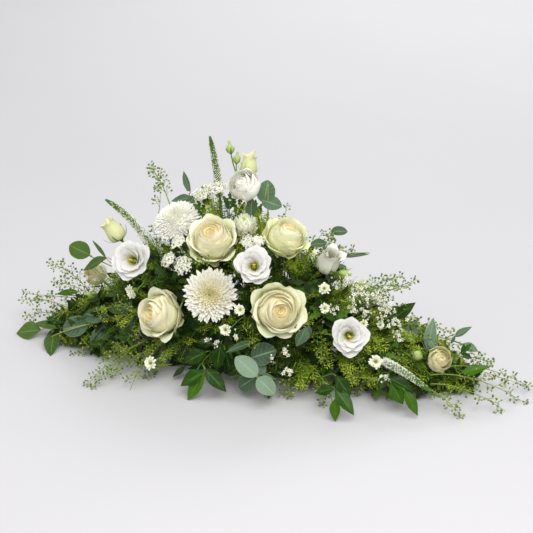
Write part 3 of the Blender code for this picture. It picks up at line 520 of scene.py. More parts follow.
def rose_bloom(R, seed, guards=6, spin=0.0, loose=0.0):
    """A high-centred rose: a tight spiral heart in a cup of wrapped petals, with guard petals laid back under it."""
    rng = np.random.default_rng(seed)
    bag = Bag()
    heart, cup, mid = 10, 5, 5
    for i in range(heart):
        f = i / (heart - 1)
        rim = 0.035 + 0.310 * f ** 0.90 + rng.normal(0, 0.006)
        belly = rim + 0.03 + 0.10 * f
        top = np.interp(f, (0, 0.35, 0.75, 1), (0.42, 0.50, 0.57, 0.56)) + rng.normal(0, 0.010)
        side = ((0.06, -0.80), (belly * 1.25, -0.74), (belly * 1.16, top - 0.34), (rim, top))
        cup_petal(bag, R, spin + i * GOLDEN + rng.normal(0, 0.10), 0.55 * f, side, np.interp(f, (0, 0.3, 1), (0.34, 0.62, 0.98)), rng, lean=0.036,
                  curl=0.012 + 0.022 * f, edge=0.006, point=0.02, dip=0.14, nu=17, nv=13)
    for i in range(cup):
        f = i / (cup - 1)
        rim = 0.405 + 0.175 * f + loose * 0.06
        side = ((0.08, -0.84), (0.66 + 0.12 * f, -0.86), (0.64 + 0.09 * f, 0.06 - 0.05 * f), (rim, 0.545 - 0.125 * f + rng.normal(0, 0.012)))
        cup_petal(bag, R, spin + 0.9 + i * GOLDEN + rng.normal(0, 0.08), 0.60 + 0.12 * f, side, 1.30 + 0.12 * f, rng, lean=0.058,
                  curl=0.085 + 0.045 * f, edge=0.040 + 0.04 * f, point=0.08, dip=0.27, nu=21, nv=17)
    for i in range(mid):
        f = i / (mid - 1)
        rim = 0.66 + 0.17 * f + loose * 0.05
        side = ((0.09, -0.87), (0.74 + 0.06 * f, -0.92), (0.74 + 0.08 * f, -0.12 - 0.08 * f), (rim, 0.34 - 0.22 * f + rng.normal(0, 0.02)))
        cup_petal(bag, R, spin + 2.1 + i * GOLDEN + rng.normal(0, 0.10), 0.76 + 0.10 * f, side, 1.34, rng, lean=0.048,
                  curl=0.14 + 0.04 * f, edge=0.10, point=0.11, dip=0.30, ruffle=0.008, waves=3, nu=21, nv=17)
    inner_mound(bag, R, ((0.004, 0.27, 0.0), (0.12, 0.33, 0.05), (0.24, 0.37, 0.15), (0.33, 0.35, 0.35), (0.42, 0.23, 0.5), (0.55, 0.12, 0.65), (0.66, -0.04, 0.8), (0.74, -0.22, 0.9), (0.70, -0.5, 1.0), (0.3, -0.84, 1.0), (0.004, -0.86, 1.0)))
    for i in range(guards):
        top = rng.uniform(-0.20, 0.10)
        side = ((0.10, -0.90), (0.70, -1.00), (0.84, top - 0.36), (rng.uniform(0.92, 1.04), top))
        cup_petal(bag, R, spin + 0.6 + i * 2 * math.pi / guards + rng.normal(0, 0.22), 1.0, side, rng.uniform(1.00, 1.30), rng, lean=0.02, curl=0.13, edge=0.15,
                  ruffle=0.018, waves=4, point=0.15, dip=0.32, nu=21, nv=15)
    return bag


def lisianthus_bloom(R, seed, petals=16, spin=0.0):
    """An open bloom: ruffled petals round a funnel, with a yellow stigma in its throat."""
    rng = np.random.default_rng(seed)
    bag = Bag()
    for i in range(petals):
        q = i / (petals - 1)
        rim = np.interp(q, (0, 0.3, 0.6, 1), (0.47, 0.63, 0.81, 0.98)) * (1 + rng.normal(0, 0.025))
        top = np.interp(q, (0, 0.35, 0.7, 1), (0.38, 0.36, 0.16, -0.06)) + rng.normal(0, 0.02)
        mid = np.interp(q, (0, 0.5, 1), (0.31, 0.45, 0.60))
        side = ((0.06, -0.95), (0.20 + 0.10 * q, -0.62), (mid, -0.02 - 0.20 * q), (rim, top))
        cup_petal(bag, R, spin + i * GOLDEN + rng.normal(0, 0.10), q, side, np.interp(q, (0, 0.4, 1), (0.86, 1.08, 1.30)), rng, lean=0.062, curl=np.interp(q, (0, 0.5, 1), (0.05, 0.06, 0.08)),
                  edge=0.05, ruffle=0.022, waves=6, dip=0.17, point=0.0, nu=21, nv=15, base_wide=0.35)
    # ovary at the bottom of the funnel, pistil with a two-lobed stigma to one side
    blob(bag, (0, 0, -0.70 * R), (0.10 * R, 0.10 * R, 0.18 * R), 3, 0.9, 12, 8)
    tilt = rng.uniform(0, 6.28)
    lx, ly = 0.07 * R * math.cos(tilt), 0.07 * R * math.sin(tilt)
    tube(bag, [(0, 0, -0.45 * R), (lx * 0.6, ly * 0.6, -0.32 * R), (lx, ly, -0.20 * R)], [0.06 * R, 0.05 * R, 0.045 * R], 8, 3, 0.9)
    for sx in (-1, 1):
        blob(bag, (lx + sx * 0.038 * R, ly + 0.01 * R, -0.17 * R), (0.048 * R, 0.042 * R, 0.04 * R), 2, 0.8)
    return bag


def lisianthus_cup(R, seed, petals=18, spin=0.0, height=1.0):
    """A bloom still closed to a round, ruffled cup."""
    rng = np.random.default_rng(seed)
    bag = Bag()
    for i in range(petals):
        q = i / (petals - 1)
        rim = np.interp(q, (0, 0.4, 1), (0.07, 0.42, 0.84)) * (1 + rng.normal(0, 0.05))
        top = (np.interp(q, (0, 0.4, 0.8, 1), (0.68, 0.70, 0.52, 0.30)) + rng.normal(0, 0.035)) * height
        belly = np.interp(q, (0, 0.5, 1), (0.40, 0.84, 1.10))
        side = ((0.07, -0.96), (belly, -1.02), (belly * 1.04, 0.10), (rim, top))
        cup_petal(bag, R, spin + i * GOLDEN + rng.normal(0, 0.10), q, side, np.interp(q, (0, 0.4, 1), (0.7, 1.1, 1.5)), rng, lean=0.05, curl=np.interp(q, (0, 0.5, 1), (0.03, 0.09, 0.15)),
                  edge=0.06, ruffle=0.040, waves=3.6, dip=0.14, point=0.0, nu=21, nv=13, base_wide=0.40)
    inner_mound(bag, R, ((0.004, 0.44, 0.4), (0.15, 0.48, 0.5), (0.32, 0.42, 0.6), (0.50, 0.24, 0.7), (0.66, 0.0, 0.8), (0.66, -0.4, 1.0), (0.3, -0.84, 1.0)))
    calyx(bag, R, -1.0, 0.24, 5, 1, 0.20, seed, flare=0.16, length=0.5)
    return bag


def blob(bag, middle, size, mat=0, tone=0.5, around=8, rows=6, wob=0.0, seed=0):
    """A small rounded body."""
    phi = np.linspace(0.04, math.pi - 0.04, rows)[:, None]
    theta = (2 * math.pi * np.arange(around) / around)[None, :]
    r = 1.0
    if wob:
        r = 1.0 + wob * np.random.default_rng(seed).uniform(-1, 1, (rows, around))
    points = np.stack([r * np.sin(phi) * np.cos(theta) * size[0], r * np.sin(phi) * np.sin(theta) * size[1], -np.cos(phi) * size[2] * np.ones_like(theta)], axis=-1) + np.asarray(middle, float)
    tints = np.stack([np.broadcast_to(phi / math.pi, points.shape[:2]), np.full(points.shape[:2], 0.5), np.full(points.shape[:2], tone)], axis=-1)
    bag.grid(points, tints, mat, wrap=True)


def calyx(bag, R, base, reach, count=5, mat=1, width=0.20, seed=0, flare=0.12, length=0.55):
    """Green sepals under a bloom, from its neck."""
    rng = np.random.default_rng(seed + 77)
    for k in range(count):
        side = ((0.05, base), (reach * 0.6, base - 0.02), (reach, base + length * 0.35), (reach + flare, base + length * rng.uniform(0.85, 1.15)))
        cup_petal(bag, R, k * 2 * math.pi / count + rng.normal(0, 0.1), 0.5, side, width, rng, nu=5, nv=8, lean=0, dip=0.75, point=0.1, mat=mat, base_wide=0.8)


def strap(bag, path, width, normal, channel=0.3, mat=0, q=0.5, tone=0.5, nu=5, tip=0.35, waist=0.45):
    """A narrow petal along a path, hollow on the side that normal shows."""
    path = np.asarray(path, float)
    n = len(path)
    t = np.linspace(0, 1, n)
    ways = np.gradient(path, axis=0)
    ways /= np.linalg.norm(ways, axis=1)[:, None]
    normal = np.broadcast_to(np.asarray(normal, float), path.shape)
    normal = normal - ways * np.sum(normal * ways, axis=1)[:, None]
    normal /= np.maximum(np.linalg.norm(normal, axis=1)[:, None], 1e-9)
    across = np.cross(ways, normal)
    half = 0.5 * width * np.interp(t, (0, 0.25, 0.62, 0.84, 0.94, 1.0), (waist, 0.8, 1.0, 0.88, 0.35 + 0.55 * tip, tip * 0.5))
    u = np.linspace(-1, 1, nu)
    points = path[:, None] + across[:, None] * (half[:, None] * u[None])[..., None] + normal[:, None] * (channel * half[:, None] * (u[None] ** 2))[..., None]
    tints = np.stack([np.repeat(t[:, None], nu, 1), np.full((n, nu), q), np.full((n, nu), tone)], axis=-1)
    bag.grid(points, tints, mat)


def chrysanthemum_bloom(R, seed, petals=285, eye=True, dome=0.36, strap_width=0.140, full=1.0):
    """Hollow strap petals in a spiral: short and upright round the eye, long and pointed at the rim."""
    rng = np.random.default_rng(seed)
    bag = Bag()
    for i in range(petals):
        q = (i + 0.5) / petals
        phi = i * GOLDEN + rng.normal(0, 0.04)
        out = q ** 0.60 * rng.uniform(0.95, 1.03)
        rho = R * (0.05 + 0.94 * out)
        height = R * (dome * (1 - out ** 2.0) - 0.12 * math.exp(-(out / 0.18) ** 2) - 0.06 * max(0.0, out - 0.85)) + rng.normal(0, 0.010) * R
        tilt = math.radians(np.interp(out, (0, 0.2, 0.5, 0.8, 1.0), (-30, 12, 42, 66, 88)) + rng.normal(0, 4))
        length = R * np.interp(out, (0, 0.3, 0.7, 1), (0.18, 0.30, 0.46, 0.60)) * full
        c, s = math.cos(phi), math.sin(phi)
        tip = np.array((rho, height))
        way = np.array((math.sin(tilt), math.cos(tilt)))
        root = np.array((R * 0.10 * out + 0.02 * R, -R * 0.32 + 0.10 * R * (1 - out)))
        mid1 = root + np.array((0.42 * (rho - root[0]), 0.10 * (height - root[1])))
        mid2 = tip - way * length * 0.45
        flat = curve2(root, mid1, mid2, tip, np.linspace(0.30 if out > 0.25 else 0.0, 1, 10))
        twist = rng.normal(0, 0.04)
        path = np.stack([flat[:, 0] * c - twist * flat[:, 0] * s, flat[:, 0] * s + twist * flat[:, 0] * c, flat[:, 1]], axis=1)
        inward = np.array((-c * math.cos(tilt), -s * math.cos(tilt), math.sin(tilt)))
        strap(bag, path, R * strap_width * np.interp(out, (0, 0.3, 0.7, 1), (0.38, 0.66, 0.98, 1.04)) * rng.uniform(0.90, 1.10), inward, channel=np.interp(out, (0, 0.6, 1), (0.95, 0.75, 0.40)),
              q=out, tone=rng.uniform(), tip=np.interp(out, (0, 0.6, 0.85, 1), (0.8, 0.7, 0.35, 0.10)), waist=0.5)
    if eye:
        for k in range(26):
            r = 0.062 * R * math.sqrt((k + 0.5) / 26)
            g = k * GOLDEN
            blob(bag, (0.6 * r * math.cos(g), 0.6 * r * math.sin(g), R * (dome - 0.18)), (0.011 * R, 0.011 * R, 0.03 * R), 1, rng.uniform(), 5, 4)
    inner_mound(bag, R, ((0.004, dome - 0.34, 0.0), (0.10, dome - 0.29, 0.0), (0.22, dome - 0.21, 0.1), (0.40, dome - 0.22, 0.2), (0.58, dome - 0.32, 0.4), (0.72, dome - 0.46, 0.6), (0.74, -0.16, 0.8), (0.5, -0.26, 0.8), (0.2, -0.30, 0.8)))
    # receptacle and bracts behind the petals
    tube(bag, [(0, 0, z * R) for z in (-0.52, -0.44, -0.36, -0.28, -0.22)], [0.10 * R, 0.22 * R, 0.30 * R, 0.26 * R, 0.10 * R], 12, 2, 0.4)
    for k in range(16):
        g = k * GOLDEN
        side = ((0.10, -0.52), (0.26, -0.50), (0.33, -0.40), (0.36, -0.26))
        cup_petal(bag, R, g, 0.5, side, 0.16, rng, nu=5, nv=5, lean=0, dip=0.6, mat=2, base_wide=0.7)
    return bag


def pompon_bloom(R, seed, petals=150):
    """A small dense chrysanthemum, green at its base, with curved-in petals."""
    rng = np.random.default_rng(seed)
    bag = Bag()
    for i in range(petals):
        q = (i + 0.5) / petals
        phi = i * GOLDEN + rng.normal(0, 0.08)
        out = q ** 0.6
        lat = math.radians(np.interp(out, (0, 1), (82, -28)))
        reach = R * (0.98 + rng.normal(0, 0.05))
        tip = np.array((reach * math.cos(lat), reach * math.sin(lat) * 0.95))
        root = np.array((0.10 * R, -0.45 * R))
        mid1 = root + np.array((0.75 * R * out, -0.05 * R))
        mid2 = tip + np.array((0.10 * R * out, -0.42 * R))
        c, s = math.cos(phi), math.sin(phi)
        flat = curve2(root, mid1, mid2, tip, np.linspace(0.15, 1, 9))
        path = np.stack([flat[:, 0] * c, flat[:, 0] * s, flat[:, 1]], axis=1)
        strap(bag, path, R * rng.uniform(0.18, 0.26), (-c * math.sin(lat + 0.6), -s * math.sin(lat + 0.6), math.cos(lat)), channel=0.7, q=out, tone=rng.uniform(), tip=0.7, waist=0.6)
    for k in range(12):
        r = 0.12 * R * math.sqrt((k + 0.5) / 12)
        g = k * GOLDEN
        blob(bag, (r * math.cos(g), r * math.sin(g), R * 0.74), (0.04 * R, 0.04 * R, 0.08 * R), 1, rng.uniform(), 5, 4)
    inner_mound(bag, R, ((0.004, 0.66, 0.5), (0.25, 0.64, 0.5), (0.50, 0.48, 0.6), (0.70, 0.18, 0.7), (0.70, -0.15, 0.9), (0.4, -0.4, 1.0)))
    tube(bag, [(0, 0, z * R) for z in (-0.72, -0.60, -0.48, -0.40)], [0.14 * R, 0.36 * R, 0.42 * R, 0.20 * R], 12, 2, 0.4)
    return bag


def small_bloom(R, seed, petals=34, layers=2):
    """A small rayed flower with a green-yellow button."""
    rng = np.random.default_rng(seed)
    bag = Bag()
    for i in range(petals):
        layer = i % layers
        phi = i * 2 * math.pi / petals + rng.normal(0, 0.10)
        c, s = math.cos(phi), math.sin(phi)
        reach = R * rng.uniform(0.70, 1.05) * (1.0 - 0.30 * layer)
        lift = R * (0.08 + 0.30 * layer + rng.normal(0, 0.13))
        flat = curve2(np.array((0.18 * R, -0.10 * R)), np.array((0.45 * R, 0.02 * R + lift * 0.6)), np.array((0.75 * R, lift)), np.array((reach, lift - 0.05 * R)), np.linspace(0, 1, 7))
        path = np.stack([flat[:, 0] * c, flat[:, 0] * s, flat[:, 1]], axis=1)
        strap(bag, path, R * 0.32 * rng.uniform(0.75, 1.2), (0, 0, 1), channel=0.55, q=0.8, tone=rng.uniform(), tip=0.7)
    for k in range(20):
        r = 0.15 * R * math.sqrt((k + 0.5) / 20)
        g = k * GOLDEN
        blob(bag, (r * math.cos(g), r * math.sin(g), R * (0.16 - 0.7 * (r / R) ** 2)), (0.032 * R, 0.032 * R, 0.06 * R), 1, rng.uniform(), 5, 4)
    tube(bag, [(0, 0, z * R) for z in (-0.75, -0.5, -0.25, -0.05)], [0.08 * R, 0.24 * R, 0.30 * R, 0.20 * R], 9, 2, 0.4)
    return bag


def umbel_bloom(R, seed, florets=60, flat=0.34, size=1.7):
    """A lacy head of tiny white flowers on fine stalks."""
    rng = np.random.default_rng(seed)
    bag = Bag()
    for k in range(florets):
        r = R * math.sqrt((k + 0.5) / florets)
        g = k * GOLDEN + rng.normal(0, 0.12)
        tip = np.array((r * math.cos(g), r * math.sin(g), R * flat * (1 - (r / R) ** 2) + rng.normal(0, 0.05) * R))
        way = unit((tip[0] * 0.7, tip[1] * 0.7, R * 0.9))
        root = np.array((0, 0, -0.72 * R))
        stalk = bezier(root, root + np.array((tip[0] * 0.25, tip[1] * 0.25, 0.45 * R)), tip - way * 0.3 * R, tip, 5)
        tube(bag, stalk, 0.32, 4, 1, 0.7, closed=False)
        for _ in range(5):
            spot = tip + rng.normal(0, 0.085 * R + 0.4, 3) * (1, 1, 0.55)
            star(bag, spot, unit(way + rng.normal(0, 0.25, 3)), size * rng.uniform(0.75, 1.25), rng)
    return bag


def star(bag, place, way, size, rng, petals=5, mat=0, eye=None):
    """A tiny flower of a few petals round a centre."""
    b = basis_of(way, rng.uniform(0, 6.28))
    points, faces = [np.zeros(3)], []
    for k in range(petals):
        g = 2 * math.pi * k / petals
        h = math.pi / petals * 0.75
        lift = rng.uniform(-0.1, 0.35)
        first = len(points)
        for a, r, z in ((g - h, 0.62, 0.12), (g, 1.0, lift), (g + h, 0.62, 0.12)):
            points.append(np.array((r * math.cos(a), r * math.sin(a), z)))
        faces.append((0, first, first + 1, first + 2))
    points = np.array(points) * size
    tints = np.stack([np.array([0.0] + [0.7, 1.0, 0.7] * petals), np.full(len(points), 0.8), np.full(len(points), rng.uniform())], axis=1)
    bag.add(np.asarray(place) + points @ b.T, tints, faces, mat)
    if eye is not None:
        blob(bag, np.asarray(place) + b[:, 2] * size * 0.12, (size * 0.2, size * 0.2, size * 0.2), eye, rng.uniform(), 5, 4)


def half_open_bloom(R, seed, petals=6, flare=0.20):
    """A bud that has begun to open: a rounded goblet whose petal points stand out at its mouth."""
    rng = np.random.default_rng(seed)
    bag = Bag()
    for i in range(petals):
        q = i / (petals - 1)
        rim = np.interp(q, (0, 1), (0.30, 0.78)) * rng.uniform(0.85, 1.12)
        top = np.interp(q, (0, 1), (1.16, 1.20)) + rng.normal(0, 0.10)
        side = ((0.10, -1.12), (np.interp(q, (0, 1), (1.20, 1.72)), -1.10), (np.interp(q, (0, 1), (0.30, 0.42)), 0.34), (rim, top))
        cup_petal(bag, R, i * GOLDEN + rng.normal(0, 0.1), q, side, np.interp(q, (0, 1), (1.3, 1.9)), rng, lean=0.05, curl=0.04 + flare * q, edge=0.02, ruffle=0.015, waves=4, dip=0.40, point=0.14, nu=23, nv=18, base_wide=0.5)
    for k in range(5):
        g = k * 1.2566 + rng.normal(0, 0.15)
        c, s = math.cos(g), math.sin(g)
        lift = rng.uniform(0.0, 0.5)
        flat = curve2(np.array((0.12, -1.16)), np.array((0.95, -1.14)), np.array((1.10 + 0.3 * lift, -0.5)), np.array((1.12 + 0.55 * lift, 0.1 - 0.3 * lift)), np.linspace(0, 1, 9)) * R
        path = np.stack([flat[:, 0] * c, flat[:, 0] * s, flat[:, 1]], axis=1)
        strap(bag, path, 0.13 * R, (c, s, 0.4), channel=-0.3, mat=1, q=0.5, tone=0.4, tip=0.05, waist=1.4)
    tube(bag, [(0, 0, z * R) for z in (-1.35, -1.20, -1.08, -1.0)], [0.12 * R, 0.22 * R, 0.30 * R, 0.12 * R], 10, 1, 0.4)
    return bag


def bud_bloom(R, seed):
    """A closed bud like a small bottle, folded along five lines, with thin sepals on it."""
    rng = np.random.default_rng(seed)
    bag = Bag()
    rows, sides = 20, 20
    z = np.linspace(-1.2, 2.0, rows)
    r = np.interp(z, (-1.2, -1.05, -0.7, -0.1, 0.45, 0.95, 1.3, 1.6, 1.85, 2.0), (0.22, 0.52, 0.88, 1.0, 0.84, 0.52, 0.34, 0.30, 0.38, 0.30))
    theta = 2 * math.pi * np.arange(sides) / sides
    swirl = theta[None] + 0.8 * (z[:, None] + 1.2) / 3.2
    fold = 1.0 + 0.08 * np.cos(5 * theta)[None] * np.clip((z[:, None] + 0.6), 0, 1)
    points = np.stack([r[:, None] * fold * np.cos(swirl) * R, r[:, None] * fold * np.sin(swirl) * R, np.repeat(z[:, None], sides, 1) * R], axis=-1)
    tints = np.stack([np.repeat(((z + 1.2) / 3.2)[:, None], sides, 1), np.repeat((0.5 + 0.5 * np.cos(5 * theta))[None], rows, 0), np.full((rows, sides), rng.uniform())], axis=-1)
    bag.grid(points, tints, 0, wrap=True)
    for k in range(5):
        g = k * 1.2566 + 0.5
        c, s = math.cos(g), math.sin(g)
        flat = curve2(np.array((0.18, -1.25)), np.array((0.95, -1.2)), np.array((1.22, -0.4)), np.array((1.02 + rng.uniform(0, 0.3), 0.75)), np.linspace(0, 1, 9)) * R
        path = np.stack([flat[:, 0] * c, flat[:, 0] * s, flat[:, 1]], axis=1)
        strap(bag, path, 0.30 * R, (c, s, 0.2), channel=-0.4, mat=1, q=0.5, tone=rng.uniform(0.2, 0.7), tip=0.03, waist=1.2)
    tube(bag, [(0, 0, z * R) for z in (-1.5, -1.3, -1.15)], [0.20 * R, 0.34 * R, 0.30 * R], 10, 1, 0.4)
    return bag


# ------------------------------------------------------------------ leaves
OUTLINES = {
    "round": ((0, 0.10), (0.06, 0.42), (0.16, 0.74), (0.32, 0.97), (0.48, 1.0), (0.66, 0.92), (0.82, 0.68), (0.93, 0.38), (1.0, 0.03)),
    "ovate": ((0, 0.08), (0.10, 0.40), (0.25, 0.82), (0.40, 1.0), (0.60, 0.88), (0.80, 0.50), (0.92, 0.20), (1.0, 0.02)),
    "lance": ((0, 0.08), (0.12, 0.42), (0.30, 0.88), (0.45, 1.0), (0.65, 0.78), (0.82, 0.42), (0.93, 0.16), (1.0, 0.02)),
    "narrow": ((0, 0.15), (0.15, 0.60), (0.45, 1.0), (0.75, 0.70), (1.0, 0.04)),
}


def leaf(bag, base, axis, across, length, width, outline="ovate", bend=0.0, fold=0.12, cup=0.0, wave=0.0, mat=0, tone=0.5, nu=7, nv=10, petiole=0.0, rng=None, lobes=0.0):
    """A leaf blade from base, along axis, bending towards its back as it goes."""
    axis = unit(axis)
    across = unit(across - axis * (across @ axis))
    normal = np.cross(across, axis)
    if petiole:
        foot = base
        base = base + axis * petiole
        tube(bag, [foot, (foot + base) / 2 + normal * 0.2, base + axis * 0.5], 0.45, 4, mat, tone, 0.0, 0.0, closed=False)
    t = np.linspace(0, 1, nv)
    keys = np.array(OUTLINES[outline])
    half = 0.5 * width * np.interp(t, keys[:, 0], keys[:, 1])
    if lobes:
        half = half * (1.0 - lobes * (0.5 + 0.5 * np.cos(t * 6 * math.pi)))
    u = np.linspace(-1, 1, nu)
    angle = bend * t
    step = length / (nv - 1)
    ways = np.cos(angle)[:, None] * axis - np.sin(angle)[:, None] * normal
    up = np.cos(angle)[:, None] * normal + np.sin(angle)[:, None] * axis
    spine = base + np.concatenate([[np.zeros(3)], np.cumsum(ways[1:] * step, axis=0)])
    lift = fold * np.abs(u)[None] * half[:, None] + cup * half[:, None] * (u ** 2)[None]
    if wave:
        a = rng.uniform(0, 6.28) if rng is not None else 0.0
        lift = lift + wave * half[:, None] * np.sin(7.0 * t[:, None] + a + 1.4 * np.sign(u)[None]) * (np.abs(u) ** 1.5)[None]
    points = spine[:, None] + across * (half[:, None] * u[None])[..., None] + up[:, None] * lift[..., None]
    tints = np.stack([np.repeat(t[:, None], nu, 1), np.repeat(np.abs(u)[None], nv, 0), np.full((nv, nu), tone)], axis=-1)
    bag.grid(points, tints, mat)
    return points


def leaf_clear(base, axis, length, width, spare=1.0):
    probe = base + unit(axis) * length * np.array((0.35, 0.7, 1.0))[:, None]
    return head_gap(probe, ALL_HEADS, spare)


def grow_round_leaves(bag, line, rng, spacing, size, first=20.0, tone=0.5, side_lean=62.0, shape="round", ratio=0.92, droop=0.35, jitter=1.0, taper=0.35, flat=0.5, mat=0, stem_mat=1, stem_radius=1.5, skip_tip=False):
    """Opposite pairs of leaves along a stem. flat is how level the blades lie."""
    total = len(line) * 5.0
    n = len(line)
    tube(bag, line, np.linspace(stem_radius, stem_radius * 0.45, n), 6, stem_mat, tone)
    d, k = first, 0
    while d < total - 4.0:
        i = min(n - 2, int(d / 5.0))
        t = unit(line[i + 1] - line[max(i - 1, 0)])
        level = side_vector(t)
        other = np.cross(t, level)
        turn = (math.pi / 2 * (k % 2)) * (1 - flat) + rng.normal(0, 0.22)
        away = math.cos(turn) * level + math.sin(turn) * other
        s = size * (1 - taper * d / total) * rng.uniform(0.88, 1.10)
        for sign in (1, -1):
            g = math.radians(side_lean + rng.normal(0, 9) * jitter)
            axis = math.cos(g) * t + math.sin(g) * sign * away + rng.normal(0, 0.08, 3)
            axis = unit(axis)
            wide = np.cross(axis, unit(0.65 * np.array((0, 0, 1.0)) + 0.5 * other + 0.3 * t + rng.normal(0, 0.15, 3)))
            if np.linalg.norm(wide) < 0.2:
                wide = other
            wide = unit(wide)
            base = line[i] + sign * away * 1.0
            if not leaf_clear(base, axis, s, s * ratio, 1.5):
                continue
            leaf(bag, base, axis, -wide, s, s * ratio * rng.uniform(0.94, 1.06), shape, bend=rng.normal(droop, 0.12), fold=0.08, cup=rng.normal(0.10, 0.06), wave=0.05, mat=mat, tone=rng.uniform(), nu=7, nv=10, petiole=rng.uniform(2.0, 4.0), rng=rng)
        d += spacing * rng.uniform(0.85, 1.15)
        k += 1
    if not skip_tip:
        t = unit(line[-1] - line[-3])
        leaf(bag, line[-1], t, side_vector(t), size * (1 - taper) * 0.95, size * (1 - taper) * ratio * 0.85, shape, bend=droop * 0.6, fold=0.10, cup=0.1, mat=mat, tone=rng.uniform(), rng=rng)


def pods(bag, line, rng, racemes=8, length=42.0, pod=1.5, count=13, first=0.25, mat=0, stem_mat=1, spread=44.0, radius=0.8):
    """Fine branching stem whose twigs carry small round pods on thin stalks."""
    n = len(line)
    tube(bag, line, np.linspace(radius * 1.4, radius * 0.5, n), 5, stem_mat, 0.5)
    for r in range(racemes + 1):
        share = first + (1 - first) * r / racemes
        i = min(n - 2, int(share * (n - 1)))
        t = unit(line[min(i + 1, n - 1)] - line[max(i - 1, 0)])
        if r == racemes:
            axis, reach, base = t, length * 0.55, line[-1]
        else:
            u = side_vector(t)
            w = np.cross(t, u)
            g = r * GOLDEN + rng.normal(0, 0.3)
            lean = math.radians(spread + rng.normal(0, 6))
            axis = unit(math.cos(lean) * t + math.sin(lean) * (math.cos(g) * u + math.sin(g) * w))
            reach, base = length * rng.uniform(0.7, 1.1) * (1 - 0.35 * share), line[i]
        end = base + axis * reach
        if not head_gap(np.stack([base + axis * reach * 0.6, end]), ALL_HEADS, 1.0) or end[2] < -2:
            continue
        lift = np.array((0, 0, reach * 0.14))
        twig = bezier(base, base + axis * reach * 0.4, end - axis * reach * 0.25 + lift * 0.5, end + lift, 7)
        twig[:, 2] = np.maximum(twig[:, 2], 1.2)
        tube(bag, twig, np.linspace(radius * 0.7, radius * 0.35, 7), 4, stem_mat, 0.6, closed=False)
        for k in range(count):
            f = 0.22 + 0.78 * (k + 0.5) / count
            p = np.array([np.interp(f * 6, range(7), twig[:, c]) for c in range(3)])
            tw = unit(twig[min(6, int(f * 6) + 1)] - twig[int(f * 6)]) if int(f * 6) < 6 else unit(twig[6] - twig[5])
            u = side_vector(tw)
            w = np.cross(tw, u)
            g = k * GOLDEN
            stalk = (7.5 - 3.5 * f) * rng.uniform(0.8, 1.2)
            out = unit(tw * 0.55 + math.cos(g) * u + math.sin(g) * w)
            tip = p + out * stalk
            tube(bag, [p, tip], 0.26, 3, stem_mat, 0.7, closed=False)
            rr = pod * rng.uniform(0.75, 1.2)
            b = basis_of(out, rng.uniform(0, 6))
            one = Bag()
            blob(one, (0, 0, rr * 0.8), (rr, rr * 0.7, rr), mat, rng.uniform(), 5, 4)
            bag.merge(one.moved(tip, b))


def feather(bag, line, rng, pinna=26.0, pairs=13, needle=5.0, needles=15, first=0.15, mat=0, stem_mat=1, tone=0.5, flat=None, spread=62.0, thick=0.55):
    """A feathery frond: pinnae in a plane, each set with fine needles."""
    n = len(line)
    tube(bag, line, np.linspace(0.9, 0.35, n), 4, stem_mat, tone, closed=False)
    all_points, all_tints, all_faces, count = [], [], [], 0
    for k in range(pairs):
        share = first + (1 - first) * k / pairs
        x = share * (n - 1)
        i = min(n - 2, int(x))
        base = line[i] + (line[i + 1] - line[i]) * (x - i)
        t = unit(line[i + 1] - line[max(i - 1, 0)])
        u = side_vector(t) if flat is None else unit(flat - t * (flat @ t))
        w = np.cross(t, u)
        env = np.interp(share, (0, 0.35, 0.7, 1), (0.65, 1.0, 0.75, 0.28))
        for sign in (1, -1):
            g = math.radians(spread + rng.normal(0, 7))
            axis = unit(math.cos(g) * t + math.sin(g) * sign * u + rng.normal(0, 0.16) * w)
            reach = pinna * env * rng.uniform(0.8, 1.15)
            end = base + axis * reach + np.array((0, 0, -reach * 0.10))
            if end[2] < 0.5 or not head_gap(np.stack([(base + end) / 2, end]), ALL_HEADS, 0.5):
                continue
            m = max(4, int(needles * env))
            f = np.linspace(0.12, 1.0, m)
            roots = base + (end - base) * f[:, None]
            side = unit(np.cross(axis, w) if abs(axis @ w) < 0.9 else u)
            sg = np.where(np.arange(m) % 2 == 0, 1.0, -1.0)
            tilt = rng.normal(0, 0.55, m)
            ways = axis * 0.75 + side * sg[:, None] * 0.85 + w * tilt[:, None]
            ways /= np.linalg.norm(ways, axis=1)[:, None]
            long_ = needle * (1.0 - 0.45 * f) * rng.uniform(0.75, 1.2, m)
            tips = roots + ways * long_[:, None]
            cross = np.cross(ways, w + side * 0.3)
            cross /= np.maximum(np.linalg.norm(cross, axis=1)[:, None], 1e-6)
            mids = roots + ways * (long_ * 0.45)[:, None]
            pts = np.stack([roots, mids + cross * thick * 0.5, tips, mids - cross * thick * 0.5], axis=1)
            all_points.append(pts.reshape(-1, 3))
            tn = rng.uniform(0, 1, m)
            all_tints.append(np.stack([np.tile((0.0, 0.5, 1.0, 0.5), m), np.full(4 * m, share), np.repeat(tn, 4)], axis=1))
            all_faces.append(count + np.arange(4 * m).reshape(-1, 4))
            count += 4 * m
            q = np.stack([base - side * 0.25, base + side * 0.25, end + side * 0.12, end - side * 0.12])
            all_points.append(q)
            all_tints.append(np.full((4, 3), (0.2, share, tone)))
            all_faces.append(count + np.arange(4).reshape(1, 4))
            count += 4
    if all_points:
        bag.add(np.concatenate(all_points), np.concatenate(all_tints), np.concatenate(all_faces), mat)


